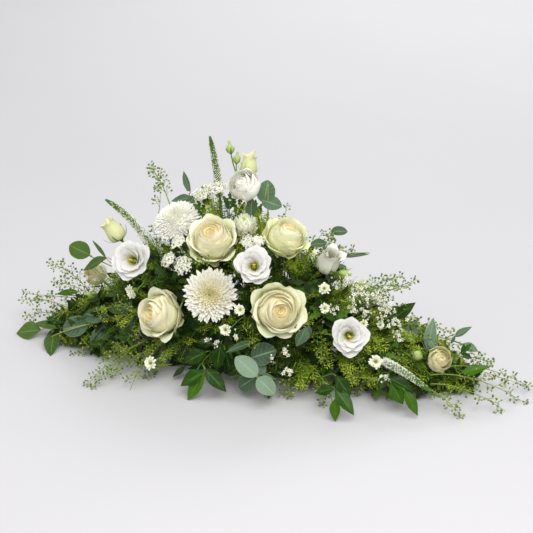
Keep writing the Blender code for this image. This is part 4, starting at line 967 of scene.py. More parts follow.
def spike_bloom(bag, line, rng, length=95.0, radius=7.6, green=0, white=1, stem_mat=2):
    """A flower spike: packed green buds towards the tip, rows of tiny white flowers below."""
    gaps = np.linalg.norm(np.diff(line, axis=0), axis=1)
    along = np.concatenate([[0.0], np.cumsum(gaps)])
    total = along[-1]
    at = lambda d: np.array([np.interp(d, along, line[:, c]) for c in range(3)])
    keys, girth = (0, 0.10, 0.35, 0.65, 0.88, 1.0), (0.72, 0.86, 0.92, 0.78, 0.56, 0.14)
    fs = np.linspace(0, 1, 20)
    tube(bag, [at(total - length * (1 - f)) for f in fs], radius * 0.66 * np.interp(fs, keys, girth), 10, green, 1.0)
    count = 520
    for k in range(count):
        f = (k + 0.5) / count
        d = total - length * (1 - f)
        p, t = at(d), unit(at(min(d + 3, total)) - at(d - 3))
        u = side_vector(t)
        w = np.cross(t, u)
        g = k * GOLDEN
        out = math.cos(g) * u + math.sin(g) * w
        place = p + out * radius * 0.74 * np.interp(f, keys, girth)
        size = np.interp(f, (0, 0.5, 1.0), (1.50, 1.35, 0.85)) * rng.uniform(0.85, 1.15)
        way = unit(out + t * np.interp(f, (0, 1), (0.35, 1.3)))
        open_ = rng.uniform() < np.interp(f, (0, 0.30, 0.60, 0.80, 0.93), (0.97, 0.85, 0.60, 0.32, 0.0))
        one = Bag()
        blob(one, (0, 0, size * 0.5), (size * 0.70, size * 0.70, size * 1.05), white if open_ else green, 0.85 * f, 6, 4)
        bag.merge(one.moved(place, basis_of(way)))
        if f < 0.30 and open_ and rng.uniform() < 0.8 - 2.0 * f:
            star(bag, place + way * size * 1.1, unit(way + rng.normal(0, 0.3, 3)), 2.1 * rng.uniform(0.8, 1.2), rng, 4, white)
            tip = place + way * size + unit(way + rng.normal(0, 0.4, 3)) * 3.4
            tube(bag, [place + way * size, tip], 0.17, 3, white, 0.9, closed=False)


# ------------------------------------------------------------------ materials
def srgb(r, g, b):
    return tuple(c / 12.92 if c <= 0.04045 else ((c + 0.055) / 1.055) ** 2.4 for c in (r / 255.0, g / 255.0, b / 255.0)) + (1.0,)


class Shade:
    """A material's node tree, put together call by call."""

    def __init__(self, name):
        self.mat = bpy.data.materials.new(name)
        self.mat.use_nodes = True
        self.tree = self.mat.node_tree
        self.tree.nodes.clear()
        self.out = self.tree.nodes.new("ShaderNodeOutputMaterial")

    def node(self, kind, **settings):
        made = self.tree.nodes.new(kind)
        for key, value in settings.items():
            setattr(made, key, value)
        return made

    def link(self, a, b):
        self.tree.links.new(a, b)

    def tint(self):
        attribute = self.node("ShaderNodeAttribute", attribute_name="tint")
        split = self.node("ShaderNodeSeparateColor")
        self.link(attribute.outputs["Color"], split.inputs[0])
        return split.outputs[0], split.outputs[1], split.outputs[2]

    def ramp(self, value, stops, ease="LINEAR"):
        made = self.node("ShaderNodeValToRGB")
        made.color_ramp.interpolation = ease
        elements = made.color_ramp.elements
        while len(elements) < len(stops):
            elements.new(0.5)
        for element, (place, colour) in zip(elements, stops):
            element.position = place
            element.color = colour
        self.link(value, made.inputs[0])
        return made.outputs[0]

    def noise(self, scale, detail=3.0, rough=0.55, stretch=None):
        where = self.node("ShaderNodeTexCoord").outputs["Object"]
        if stretch:
            mapping = self.node("ShaderNodeMapping")
            mapping.inputs["Scale"].default_value = stretch
            self.link(where, mapping.inputs["Vector"])
            where = mapping.outputs[0]
        made = self.node("ShaderNodeTexNoise")
        made.inputs["Scale"].default_value = scale
        made.inputs["Detail"].default_value = detail
        made.inputs["Roughness"].default_value = rough
        self.link(where, made.inputs["Vector"])
        return made.outputs["Fac"]

    def math(self, operation, a, b=None, clamp=False):
        made = self.node("ShaderNodeMath", operation=operation, use_clamp=clamp)
        for socket, value in zip(made.inputs, (a, b)):
            if value is None:
                continue
            if isinstance(value, (int, float)):
                socket.default_value = value
            else:
                self.link(value, socket)
        return made.outputs[0]

    def span(self, value, low, high, to_low=0.0, to_high=1.0):
        made = self.node("ShaderNodeMapRange", clamp=True)
        for key, number in (("From Min", low), ("From Max", high), ("To Min", to_low), ("To Max", to_high)):
            made.inputs[key].default_value = number
        self.link(value, made.inputs["Value"])
        return made.outputs[0]

    def mix(self, factor, a, b, blend="MIX"):
        made = self.node("ShaderNodeMix", data_type="RGBA", blend_type=blend)
        for socket, value in ((made.inputs[0], factor), (made.inputs[6], a), (made.inputs[7], b)):
            if isinstance(value, (int, float)):
                socket.default_value = value
            elif isinstance(value, tuple):
                socket.default_value = value
            else:
                self.link(value, socket)
        return made.outputs[2]

    def bump(self, height, strength, distance=0.0006):
        made = self.node("ShaderNodeBump")
        made.inputs["Strength"].default_value = strength
        made.inputs["Distance"].default_value = distance
        self.link(height, made.inputs["Height"])
        return made.outputs[0]

    def finish(self, colour, rough=0.5, normal=None, specular=0.4, translucent=0.0, glow=None, mean=(0.5, 0.5, 0.5, 1), coat=0.0, sheen=0.0, subsurface=0.0, scatter=(0.004, 0.003, 0.002)):
        main = self.node("ShaderNodeBsdfPrincipled")
        main.inputs["Base Color"].default_value = mean
        self.link(colour, main.inputs["Base Color"])
        if isinstance(rough, (int, float)):
            main.inputs["Roughness"].default_value = rough
        else:
            main.inputs["Roughness"].default_value = 0.5
            self.link(rough, main.inputs["Roughness"])
        main.inputs["Specular IOR Level"].default_value = specular
        main.inputs["Coat Weight"].default_value = coat
        main.inputs["Coat Roughness"].default_value = 0.25
        main.inputs["Sheen Weight"].default_value = sheen
        if subsurface:
            main.inputs["Subsurface Weight"].default_value = subsurface
            main.inputs["Subsurface Radius"].default_value = (1.0, 0.8, 0.6)
            main.inputs["Subsurface Scale"].default_value = scatter[0]
        if normal is not None:
            self.link(normal, main.inputs["Normal"])
        if translucent:
            through = self.node("ShaderNodeBsdfTranslucent")
            through.inputs["Color"].default_value = mean
            self.link(glow if glow is not None else colour, through.inputs["Color"])
            if normal is not None:
                self.link(normal, through.inputs["Normal"])
            mixed = self.node("ShaderNodeMixShader")
            mixed.inputs[0].default_value = translucent
            self.link(main.outputs[0], mixed.inputs[1])
            self.link(through.outputs[0], mixed.inputs[2])
            self.link(mixed.outputs[0], self.out.inputs["Surface"])
        else:
            self.link(main.outputs[0], self.out.inputs["Surface"])
        return self.mat


def petal_material(name, along, order, mean, weight=0.5, blotch=None, blotch_amount=0.0, translucent=0.42, rough=0.55, vein=0.12, vary=0.06, order_min=0.0, dim=(0.92, 0.915, 0.90)):
    s = Shade(name)
    along, order = ([(place, tuple(c * k for c, k in zip(colour, dim + (1.0,)))) for place, colour in stops] for stops in (along, order))
    mean = tuple(c * k for c, k in zip(mean, dim + (1.0,)))
    r, g, b = s.tint()
    # for some flowers these ramps also carry painted shade at the petal bases and in the middle, and painted highlights
    # at the rims; make_materials says which
    base = s.mix(weight, s.ramp(r, along), s.ramp(g, order))
    cloud = s.noise(55.0, 4.0)
    base = s.mix(s.span(cloud, 0.35, 0.75, 0.0, vary + 0.02), base, (0.80, 0.76, 0.50, 1), "MULTIPLY")
    base = s.mix(s.span(b, 0, 1, 0.0, vary + 0.02), base, (0.92, 0.90, 0.74, 1), "MULTIPLY")
    if blotch is not None:
        spot = s.math("MULTIPLY", s.span(s.noise(120.0, 5.0, 0.7), 0.50, 0.68), s.math("MULTIPLY", s.span(r, 0.72, 1.0), s.span(g, order_min, min(1.0, order_min + 0.25))))
        base = s.mix(s.math("MULTIPLY", spot, blotch_amount), base, blotch)
    fine = s.noise(700.0, 3.0, 0.6)
    streak = s.noise(260.0, 2.0, 0.5, (1.0, 1.0, 0.22))
    normal = s.bump(s.math("ADD", s.math("MULTIPLY", fine, 0.35), streak), vein, 0.0008)
    return s.finish(base, s.span(cloud, 0.3, 0.7, rough - 0.06, rough + 0.08), normal, 0.35, translucent, None, mean, sheen=0.08)


def leaf_material(name, tones, rib, mean, rough=0.5, specular=0.45, translucent=0.18, coat=0.0, veins=9.0, bloom=None, bloom_amount=0.0, edge=None, bump=0.25, side=1.4):
    s = Shade(name)
    r, g, b = s.tint()
    base = s.ramp(b, tones)
    cloud = s.noise(48.0, 4.0, 0.6)
    base = s.mix(s.span(cloud, 0.30, 0.72, 0.0, 0.32), base, (0.55, 0.58, 0.42, 1), "MULTIPLY")
    if bloom is not None:
        base = s.mix(s.math("MULTIPLY", s.span(s.noise(26.0, 3.0), 0.32, 0.66), bloom_amount), base, bloom)
    # side veins run forward from the midrib
    wave = s.math("SINE", s.math("MULTIPLY", s.math("SUBTRACT", s.math("MULTIPLY", r, veins), s.math("MULTIPLY", g, side)), 6.2832))
    line = s.span(wave, 0.86, 1.0)
    midrib = s.span(g, 0.0, 0.10, 1.0, 0.0)
    vein = s.math("MAXIMUM", s.math("MULTIPLY", line, 0.35), midrib)
    base = s.mix(s.math("MULTIPLY", vein, 0.55), base, rib)
    if edge is not None:
        base = s.mix(s.math("MULTIPLY", s.span(g, 0.90, 1.0), 0.5), base, edge)
    base = s.mix(s.span(s.noise(420.0, 2.0), 0.55, 0.75, 0.0, 0.16), base, (0.35, 0.38, 0.25, 1), "MULTIPLY")
    height = s.math("SUBTRACT", s.math("MULTIPLY", s.noise(300.0, 3.0), 0.5), s.math("MULTIPLY", vein, 0.8))
    normal = s.bump(height, bump, 0.0007)
    glow = s.mix(0.5, base, (0.30, 0.45, 0.05, 1), "MIX")
    return s.finish(base, s.span(cloud, 0.3, 0.7, rough - 0.08, rough + 0.10), normal, specular, translucent, glow, mean, coat=coat)


def fine_material(name, tones, mean, rough=0.6, translucent=0.15, specular=0.35, dark=0.35):
    """For needles, pods, stalks and stems: the tone comes from each one's own number."""
    s = Shade(name)
    r, g, b = s.tint()
    base = s.ramp(b, tones)
    base = s.mix(s.span(s.noise(40.0, 4.0), 0.35, 0.70, 0.0, dark), base, (0.45, 0.48, 0.32, 1), "MULTIPLY")
    base = s.mix(s.span(r, 0.0, 0.6, 0.30, 0.0), base, (0.40, 0.50, 0.30, 1), "MULTIPLY")
    normal = s.bump(s.noise(900.0, 2.0), 0.15, 0.0004)
    return s.finish(base, s.span(s.noise(90.0), 0.3, 0.7, rough - 0.08, rough + 0.08), normal, specular, translucent, None, mean)


def simple_material(name, low, high, mean, scale, rough, bump, distance, detail=6.0, cells=0.0, specular=0.4):
    s = Shade(name)
    n = s.noise(scale, detail, 0.65)
    height = n
    if cells:
        v = s.node("ShaderNodeTexVoronoi")
        v.inputs["Scale"].default_value = cells
        s.link(s.node("ShaderNodeTexCoord").outputs["Object"], v.inputs["Vector"])
        height = s.math("ADD", n, s.math("MULTIPLY", v.outputs["Distance"], 1.2))
    base = s.mix(s.span(height, 0.3, 0.9), low, high)
    return s.finish(base, s.span(n, 0.3, 0.7, rough - 0.06, rough + 0.08), s.bump(height, bump, distance), specular, 0.0, None, mean)


def floor_material():
    """Matt paper, with painted light: its colour turns paler far from the arrangement, where the lamps no longer reach.
    """
    s = Shade("studio_floor")
    n = s.noise(1.6, 3.0)
    base = s.mix(s.span(n, 0.3, 0.9), srgb(188, 187, 189), srgb(191, 190, 192))
    # painted light: the floor turns paler from 3.6 m to 6.5 m away from the middle, standing in for lamp light there
    away = s.node("ShaderNodeVectorMath", operation="LENGTH")
    s.link(s.node("ShaderNodeTexCoord").outputs["Object"], away.inputs[0])
    base = s.mix(s.span(away.outputs["Value"], 3.6, 6.5), base, srgb(238, 237, 240))
    return s.finish(base, s.span(n, 0.3, 0.7, 0.80, 0.90), s.bump(n, 0.02, 0.001), 0.1, 0.0, None, srgb(189, 188, 190))


def make_materials():
    m = {}
    # rose colours: the along ramp is darker and yellower at the petal bases, partly the rose's own yellow base and
    # partly painted shade in the crevices, and brightest at the rims as a painted highlight; the order ramp's peach
    # heart is partly the rose's own warm centre and partly a painted glow of light scattered between the petals; the
    # green blotches and greenish outer petals are its own colour
    m["rose"] = petal_material(
        "rose_cream",
        ((0.0, srgb(226, 208, 126)), (0.50, srgb(248, 236, 184)), (0.84, srgb(253, 247, 222)), (1.0, srgb(255, 254, 246))),
        ((0.0, srgb(253, 226, 152)), (0.25, srgb(254, 234, 180)), (0.50, srgb(254, 243, 212)), (0.80, srgb(252, 249, 224)), (1.0, srgb(238, 243, 204))),
        srgb(250, 244, 218), blotch=srgb(166, 194, 98), blotch_amount=0.45, order_min=0.70, translucent=0.24, vein=0.10, vary=0.02, dim=(0.885, 0.905, 0.87))
    # pale rose colours: as for the cream rose, darker yellow petal bases partly its own colour and partly painted
    # shade, brightest rims as a painted highlight, and a peach heart partly its own colour and partly a painted glow
    m["rose_pale"] = petal_material(
        "rose_pale",
        ((0.0, srgb(214, 206, 112)), (0.50, srgb(240, 228, 164)), (0.84, srgb(251, 246, 212)), (1.0, srgb(253, 252, 236))),
        ((0.0, srgb(255, 234, 178)), (0.30, srgb(254, 244, 206)), (0.60, srgb(252, 248, 216)), (0.82, srgb(247, 247, 208)), (1.0, srgb(226, 236, 168))),
        srgb(246, 244, 206), blotch=srgb(142, 180, 80), blotch_amount=0.75, order_min=0.62, translucent=0.24, vein=0.10, vary=0.03, dim=(0.875, 0.90, 0.88))
    # chrysanthemum colours: both ramps are yellower and darker towards the petal bases and the middle of the bloom,
    # partly the flower's own cream-yellow centre and partly painted shade in the gaps between the petals, deepened
    # there for contrast
    m["chrysanthemum"] = petal_material(
        "chrysanthemum_white",
        ((0.0, srgb(232, 208, 96)), (0.28, srgb(242, 228, 156)), (0.62, srgb(249, 246, 222)), (1.0, srgb(250, 250, 246))),
        ((0.0, srgb(252, 244, 176)), (0.25, srgb(253, 248, 214)), (0.55, srgb(252, 250, 240)), (1.0, srgb(250, 250, 249))),
        srgb(250, 249, 241), translucent=0.30, vein=0.12, vary=0.0)
    m["fluffy"] = petal_material(
        "chrysanthemum_pure_white",
        ((0.0, srgb(236, 236, 190)), (0.30, srgb(248, 248, 230)), (1.0, srgb(251, 252, 250))),
        ((0.0, srgb(250, 249, 226)), (0.3, srgb(251, 251, 242)), (1.0, srgb(250, 251, 249))),
        srgb(250, 250, 244), translucent=0.26, vein=0.12, vary=0.0)
    m["pompon"] = petal_material(
        "pompon_greenish_white",
        ((0.0, srgb(196, 212, 104)), (0.40, srgb(236, 242, 176)), (0.72, srgb(252, 253, 238)), (1.0, srgb(255, 255, 250))),
        ((0.0, srgb(240, 246, 200)), (0.4, srgb(252, 253, 244)), (1.0, srgb(246, 250, 222))),
        srgb(248, 250, 232), translucent=0.28, vein=0.12, vary=0.0)
    # lisianthus colours: the along ramp is the flower's own yellow-green throat, darkened to olive towards the bottom
    # of the funnel as painted shade
    m["lisianthus"] = petal_material(
        "lisianthus_white",
        ((0.0, srgb(150, 156, 16)), (0.28, srgb(206, 208, 60)), (0.44, srgb(236, 237, 166)), (0.57, srgb(243, 243, 236)), (1.0, srgb(242, 242, 242))),
        ((0.0, srgb(242, 242, 236)), (1.0, srgb(243, 243, 243))),
        srgb(240, 240, 236), weight=0.10, translucent=0.30, vein=0.08, vary=0.0)
    m["ruffle"] = petal_material(
        "lisianthus_cup_white",
        ((0.0, srgb(206, 216, 130)), (0.25, srgb(238, 240, 196)), (0.50, srgb(247, 246, 228)), (1.0, srgb(246, 246, 244))),
        ((0.0, srgb(247, 246, 232)), (1.0, srgb(246, 246, 243))),
        srgb(244, 243, 234), weight=0.35, translucent=0.16, vein=0.08, vary=0.0, dim=(0.95, 0.95, 0.93))
    m["cream_cup"] = petal_material(
        "lisianthus_cup_cream",
        ((0.0, srgb(206, 216, 130)), (0.25, srgb(236, 238, 180)), (0.60, srgb(248, 244, 206)), (1.0, srgb(250, 246, 218))),
        ((0.0, srgb(252, 232, 178)), (0.5, srgb(248, 244, 204)), (1.0, srgb(238, 240, 196))),
        srgb(244, 240, 204), weight=0.5, translucent=0.30, vein=0.10, vary=0.02, blotch=srgb(160, 190, 90), blotch_amount=0.4)
    m["half_open"] = petal_material(
        "half_open_bud",
        ((0.0, srgb(170, 192, 96)), (0.30, srgb(206, 216, 140)), (0.65, srgb(232, 234, 186)), (1.0, srgb(244, 242, 210))),
        ((0.0, srgb(236, 236, 190)), (1.0, srgb(226, 230, 172))),
        srgb(228, 230, 178), blotch=srgb(160, 186, 86), blotch_amount=0.5, translucent=0.24, vary=0.08)
    m["bud"] = petal_material(
        "closed_bud",
        ((0.0, srgb(120, 152, 70)), (0.45, srgb(168, 192, 106)), (1.0, srgb(206, 216, 150))),
        ((0.0, srgb(176, 198, 116)), (1.0, srgb(190, 206, 130))),
        srgb(172, 194, 110), translucent=0.22, vary=0.15)
    m["small"] = petal_material(
        "small_white",
        ((0.0, srgb(212, 222, 120)), (0.40, srgb(246, 248, 206)), (1.0, srgb(255, 255, 252))),
        ((0.0, srgb(248, 250, 220)), (1.0, srgb(255, 255, 252))),
        srgb(252, 252, 240), translucent=0.26, vary=0.0)
    m["lace"] = petal_material(
        "lace_white",
        ((0.0, srgb(228, 234, 190)), (0.5, srgb(250, 251, 238)), (1.0, srgb(254, 255, 250))),
        ((0.0, srgb(236, 240, 218)), (1.0, srgb(250, 251, 244))),
        srgb(242, 245, 230), translucent=0.25, vary=0.10, rough=0.7)
    m["sepal"] = fine_material("sepal_green", ((0.0, srgb(78, 118, 48)), (0.5, srgb(104, 146, 62)), (1.0, srgb(134, 172, 84))), srgb(104, 146, 62), translucent=0.15)
    m["stigma"] = simple_material("stigma_yellow", srgb(222, 170, 20), srgb(246, 208, 50), srgb(238, 192, 36), 900.0, 0.6, 0.3, 0.0004)
    m["ovary"] = fine_material("ovary_green", ((0.0, srgb(176, 196, 70)), (0.5, srgb(196, 210, 84)), (1.0, srgb(216, 224, 104))), srgb(200, 212, 88), dark=0.1, translucent=0.2)
    m["eye"] = fine_material("green_eye", ((0.0, srgb(108, 140, 48)), (0.5, srgb(158, 178, 70)), (1.0, srgb(206, 206, 96))), srgb(158, 176, 72))
    m["stem"] = fine_material("stem_green", ((0.0, srgb(70, 104, 30)), (0.5, srgb(92, 132, 42)), (1.0, srgb(122, 158, 62))), srgb(90, 130, 44), rough=0.5, translucent=0.0)
    m["woody"] = fine_material("stem_olive", ((0.0, srgb(112, 116, 60)), (0.5, srgb(146, 150, 76)), (1.0, srgb(178, 170, 92))), srgb(146, 148, 76), rough=0.6, translucent=0.0)
    # leaf tone ramps: they give each leaf its own tone, and for the placed leaves they also carry painted light and
    # shade, from the dark end to the light end
    m["eucalyptus"] = leaf_material(
        "eucalyptus_leaf",
        ((0.0, srgb(22, 42, 20)), (0.5, srgb(66, 94, 64)), (1.0, srgb(122, 144, 122))), srgb(158, 178, 140), srgb(92, 124, 102),
        rough=0.60, specular=0.15, translucent=0.12, veins=6.0, bloom=srgb(132, 158, 140), bloom_amount=0.20, edge=srgb(126, 140, 104), bump=0.18)
    m["eucalyptus_green"] = leaf_material(
        "eucalyptus_green_leaf",
        ((0.0, srgb(38, 64, 16)), (0.5, srgb(56, 84, 24)), (1.0, srgb(78, 106, 42))), srgb(130, 152, 90), srgb(62, 94, 40),
        rough=0.58, specular=0.15, translucent=0.12, veins=6.0, bloom=srgb(86, 114, 70), bloom_amount=0.2, edge=srgb(104, 130, 76), bump=0.18)
    m["ruscus"] = leaf_material(
        "ruscus_leaf",
        ((0.0, srgb(9, 30, 1)), (0.5, srgb(28, 64, 2)), (1.0, srgb(72, 118, 14))), srgb(92, 132, 36), srgb(36, 76, 6),
        rough=0.38, specular=0.15, translucent=0.12, coat=0.0, veins=2.2, side=0.6, bump=0.22)
    m["broad"] = leaf_material(
        "broad_leaf",
        ((0.0, srgb(34, 60, 14)), (0.5, srgb(54, 86, 20)), (1.0, srgb(84, 120, 32))), srgb(98, 130, 50), srgb(54, 86, 20),
        rough=0.55, specular=0.18, translucent=0.15, veins=7.0, bump=0.35)
    # dark leaves for the depth of the bed: their dark colour is painted shade
    m["shade"] = leaf_material(
        "painted_shade_leaf",
        ((0.0, srgb(18, 30, 6)), (0.5, srgb(34, 54, 12)), (1.0, srgb(62, 88, 22))), srgb(60, 84, 30), srgb(34, 54, 12),
        rough=0.6, specular=0.15, translucent=0.10, veins=5.0, bump=0.3)
    m["wax"] = petal_material(
        "waxflower_white",
        ((0.0, srgb(196, 204, 110)), (0.45, srgb(246, 246, 226)), (1.0, srgb(253, 252, 246))),
        ((0.0, srgb(248, 248, 232)), (1.0, srgb(253, 252, 246))),
        srgb(246, 246, 232), translucent=0.26, vary=0.04)
    m["pod"] = fine_material("pod_green", ((0.0, srgb(78, 108, 24)), (0.5, srgb(112, 140, 36)), (1.0, srgb(156, 176, 60))), srgb(112, 140, 36), rough=0.5, translucent=0.12, dark=0.25)
    m["pod_stem"] = fine_material("pod_stalk", ((0.0, srgb(96, 122, 34)), (0.5, srgb(126, 146, 50)), (1.0, srgb(156, 170, 70))), srgb(126, 146, 50), rough=0.6, translucent=0.0, dark=0.25)
    m["fern"] = fine_material("fern_green", ((0.0, srgb(38, 60, 14)), (0.5, srgb(78, 106, 24)), (1.0, srgb(132, 158, 44))), srgb(78, 106, 24), rough=0.6, translucent=0.22, specular=0.2)
    m["fern_light"] = fine_material("fern_light_green", ((0.0, srgb(110, 138, 24)), (0.5, srgb(164, 188, 44)), (1.0, srgb(214, 226, 92))), srgb(164, 188, 44), rough=0.6, translucent=0.25, specular=0.2)
    m["spike"] = fine_material("spike_green", ((0.0, srgb(150, 178, 96)), (0.40, srgb(130, 162, 74)), (0.85, srgb(86, 130, 42)), (1.0, srgb(66, 102, 30))), srgb(120, 156, 68), rough=0.55, translucent=0.12, dark=0.2)
    m["tray"] = simple_material("tray_plastic", srgb(30, 58, 34), srgb(44, 76, 46), srgb(38, 68, 40), 60.0, 0.42, 0.10, 0.0004)
    m["foam"] = simple_material("floral_foam", srgb(28, 62, 30), srgb(62, 108, 56), srgb(46, 86, 44), 160.0, 0.92, 0.6, 0.0012, cells=520.0, specular=0.2)
    m["tape"] = simple_material("anchor_tape", srgb(52, 92, 50), srgb(74, 118, 66), srgb(62, 104, 58), 120.0, 0.45, 0.15, 0.0003)
    m["floor"] = floor_material()
    return m


# ------------------------------------------------------------------ studio
WORLD, KEY, FILL, FRONT, BACK = 0.61, 19.0, 20.0, 108.0, 75.0


def area(name, place, target, size, power, colour=(1, 1, 1)):
    data = bpy.data.lights.new(name, "AREA")
    data.energy, data.color, data.size = power, colour, size
    light = bpy.data.objects.new(name, data)
    light.location = place
    light.rotation_euler = (Vector(target) - Vector(place)).to_track_quat("-Z", "Y").to_euler()
    bpy.context.scene.collection.objects.link(light)
    return light


def make_studio(m):
    mesh = bpy.data.meshes.new("floor")
    n = 24
    xs = np.linspace(-14.0, 14.0, n + 1)
    points = [(x, y, 0.0) for y in xs for x in xs]
    faces = [(j * (n + 1) + i, j * (n + 1) + i + 1, (j + 1) * (n + 1) + i + 1, (j + 1) * (n + 1) + i) for j in range(n) for i in range(n)]
    mesh.from_pydata(points, [], faces)
    mesh.materials.append(m["floor"])
    floor = bpy.data.objects.new("floor", mesh)
    bpy.context.scene.collection.objects.link(floor)
    world = bpy.data.worlds.new("studio")
    world.use_nodes = True
    world.node_tree.nodes["Background"].inputs["Color"].default_value = (0.985, 0.985, 1.0, 1)
    world.node_tree.nodes["Background"].inputs["Strength"].default_value = WORLD
    bpy.context.scene.world = world
    bpy.context.scene.view_settings.view_transform = "Standard"
    area("key", (0.9, -0.70, 1.8), (0.0, 0.0, 0.05), 1.2, KEY, (1.0, 0.99, 0.975))
    area("back", (-0.1, 3.0, 2.6), (-0.2, 2.8, 0.0), 2.2, BACK, (1.0, 1.0, 1.0))
    area("fill", (-1.7, -1.6, 1.9), (0.0, 0.0, 0.1), 2.2, FILL, (0.98, 0.99, 1.0))
    area("front", (1.0, -3.0, 3.2), (0.0, 0.0, 0.10), 2.0, FRONT, (1.0, 0.99, 0.985))


# ------------------------------------------------------------------ pieces
HEAD_MATS = {
    "rose": ("rose", "sepal"), "chrysanthemum": ("chrysanthemum", "eye", "sepal"), "pompon": ("pompon", "ovary", "sepal"), "fluffy": ("fluffy", "eye", "sepal"), "lisianthus": ("lisianthus", "sepal", "stigma", "ovary"),
    "cup": ("ruffle", "sepal"), "cream_cup": ("cream_cup", "sepal"), "half_open": ("half_open", "sepal"), "bud": ("bud", "sepal"), "small": ("small", "eye", "sepal"),
    "white_half": ("ruffle", "sepal"), "umbel": ("lace", "pod_stem"),
}
SLOTS = {
    "rose": "rose_petals", "chrysanthemum": "chrysanthemum_petals", "lisianthus": "lisianthus_petals", "half_open": "lisianthus_petals", "bud": "lisianthus_petals",
    "small": "small_flowers", "umbel": "umbel_flowers", "veronica": "speedwell_spikes", "eucalyptus": "eucalyptus_leaves", "ruscus": "ruscus_leaves",
    "thlaspi": "podded_filler", "fern": "fern_fronds",
}
LOOK = {
    "lisianthus_top": "cup", "lisianthus_upper_right": "white_half", "lisianthus_right_end": "cream_cup", "lisianthus_far_left": "cream_cup", "lisianthus_right_rear": "cup",
    "chrysanthemum_small": "pompon", "chrysanthemum_upper_left": "fluffy",
}


# cups that open towards the front: how far their faces turn from the stem's own direction
TURN = {"lisianthus_top": 0.45, "lisianthus_right_end": 0.60, "lisianthus_far_left": 0.50}


def head_bag(look, radius, seed):
    if look == "rose":
        bag = rose_bloom(radius, seed, spin=0.3 * seed)
        calyx(bag, radius, -0.92, 0.30, 5, 1, 0.22, seed, flare=0.16, length=0.45)
        blob(bag, (0, 0, -0.86 * radius), (0.17 * radius, 0.17 * radius, 0.14 * radius), 1, 0.4, 10, 6)
        return bag
    if look == "chrysanthemum":
        return chrysanthemum_bloom(radius, seed)
    if look == "fluffy":
        return chrysanthemum_bloom(radius, seed, petals=400, dome=0.50, strap_width=0.105, eye=False)
    if look == "pompon":
        return pompon_bloom(radius, seed)
    if look == "lisianthus":
        bag = lisianthus_bloom(radius, seed, spin=0.7 * seed)
        calyx(bag, radius, -1.0, 0.14, 5, 1, 0.12, seed, flare=0.16, length=0.75)
        return bag
    if look in ("cup", "cream_cup"):
        return lisianthus_cup(radius, seed, spin=0.7 * seed)
    if look in ("half_open", "white_half"):
        return half_open_bloom(radius, seed)
    if look == "bud":
        return bud_bloom(radius, seed)
    if look == "umbel":
        return umbel_bloom(radius, seed, florets=int(26 + 2.2 * radius))
    return small_bloom(radius, seed)


def with_materials(m, bag, keys, names):
    """Moves a bag's material numbers on to their places in names, a list that grows as needed."""
    places = []
    for key in keys:
        if key not in names:
            names.append(key)
        places.append(names.index(key))
    bag.faces = [(faces, places[mat]) for faces, mat in bag.faces]
    return bag


def build_flowers(m):
    for number, (name, kind, _m, _f, _r, sides) in enumerate(FLOWERS):
        stem = STEMS[name]
        slot = "waxflower" if name == "waxflower_right" else SLOTS[kind]
        rest, names = Bag(), []
        for k, (middle, axis, radius, head_kind) in enumerate(stem["heads"]):
            look = LOOK.get(name, head_kind) if k == 0 else head_kind
            facing = unit(axis + TURN[name] * VIEW_BACK) if k == 0 and name in TURN else axis
            bag = head_bag(look, radius, 11 + number * 5 + k).moved(middle, basis_of(facing))
            keys = HEAD_MATS[look]
            if look == "rose" and name in ("rose_upper_right", "rose_back_left"):
                keys = ("rose_pale", "sepal")
            if k == 0:
                bag.object(name + "_bloom", [m[x] for x in keys], replaces=name, slot=slot)
            else:
                rest.merge(with_materials(m, bag, keys, names))
        if names:
            rest.object(name + "_side_blooms", [m[x] for x in names], slot=slot)
        bag = Bag()
        line = stem_line(stem, 4.0)
        tube(bag, line, stem["radius"] * 0.95, 8, 0, 0.35, closed=False)
        for _at, twig, _head in stem["branches"]:
            tube(bag, resample(twig, 4.0), 1.05 if stem["radius"] > 1.7 else 0.8, 6, 0, 0.5, closed=False)
        bag.object(name + "_stem", [m["stem"]], slot=slot)


# ------------------------------------------------------------------ greens
VIEW_RIGHT = np.array((math.cos(AZIMUTH), math.sin(AZIMUTH), 0.0))
VIEW_BACK = np.array((math.sin(AZIMUTH) * math.cos(PITCH), -math.cos(AZIMUTH) * math.cos(PITCH), math.sin(PITCH)))
VIEW_UP = np.cross(VIEW_BACK, VIEW_RIGHT)
EYE = 1000.0 * (VIEW_BACK * DISTANCE - (ORIGIN_PX[0] - FRAME_PX / 2) * SCALE * VIEW_RIGHT + (ORIGIN_PX[1] - FRAME_PX / 2) * SCALE * VIEW_UP)


def seen(px, py, y=None, z=None):
    """The place the camera sees at a picture position, at a depth y or at a height z, in millimetres."""
    way = ((px - FRAME_PX / 2) * VIEW_RIGHT - (py - FRAME_PX / 2) * VIEW_UP) * SCALE / DISTANCE - VIEW_BACK
    step = (z - EYE[2]) / way[2] if y is None else (y - EYE[1]) / way[1]
    return EYE + way * step


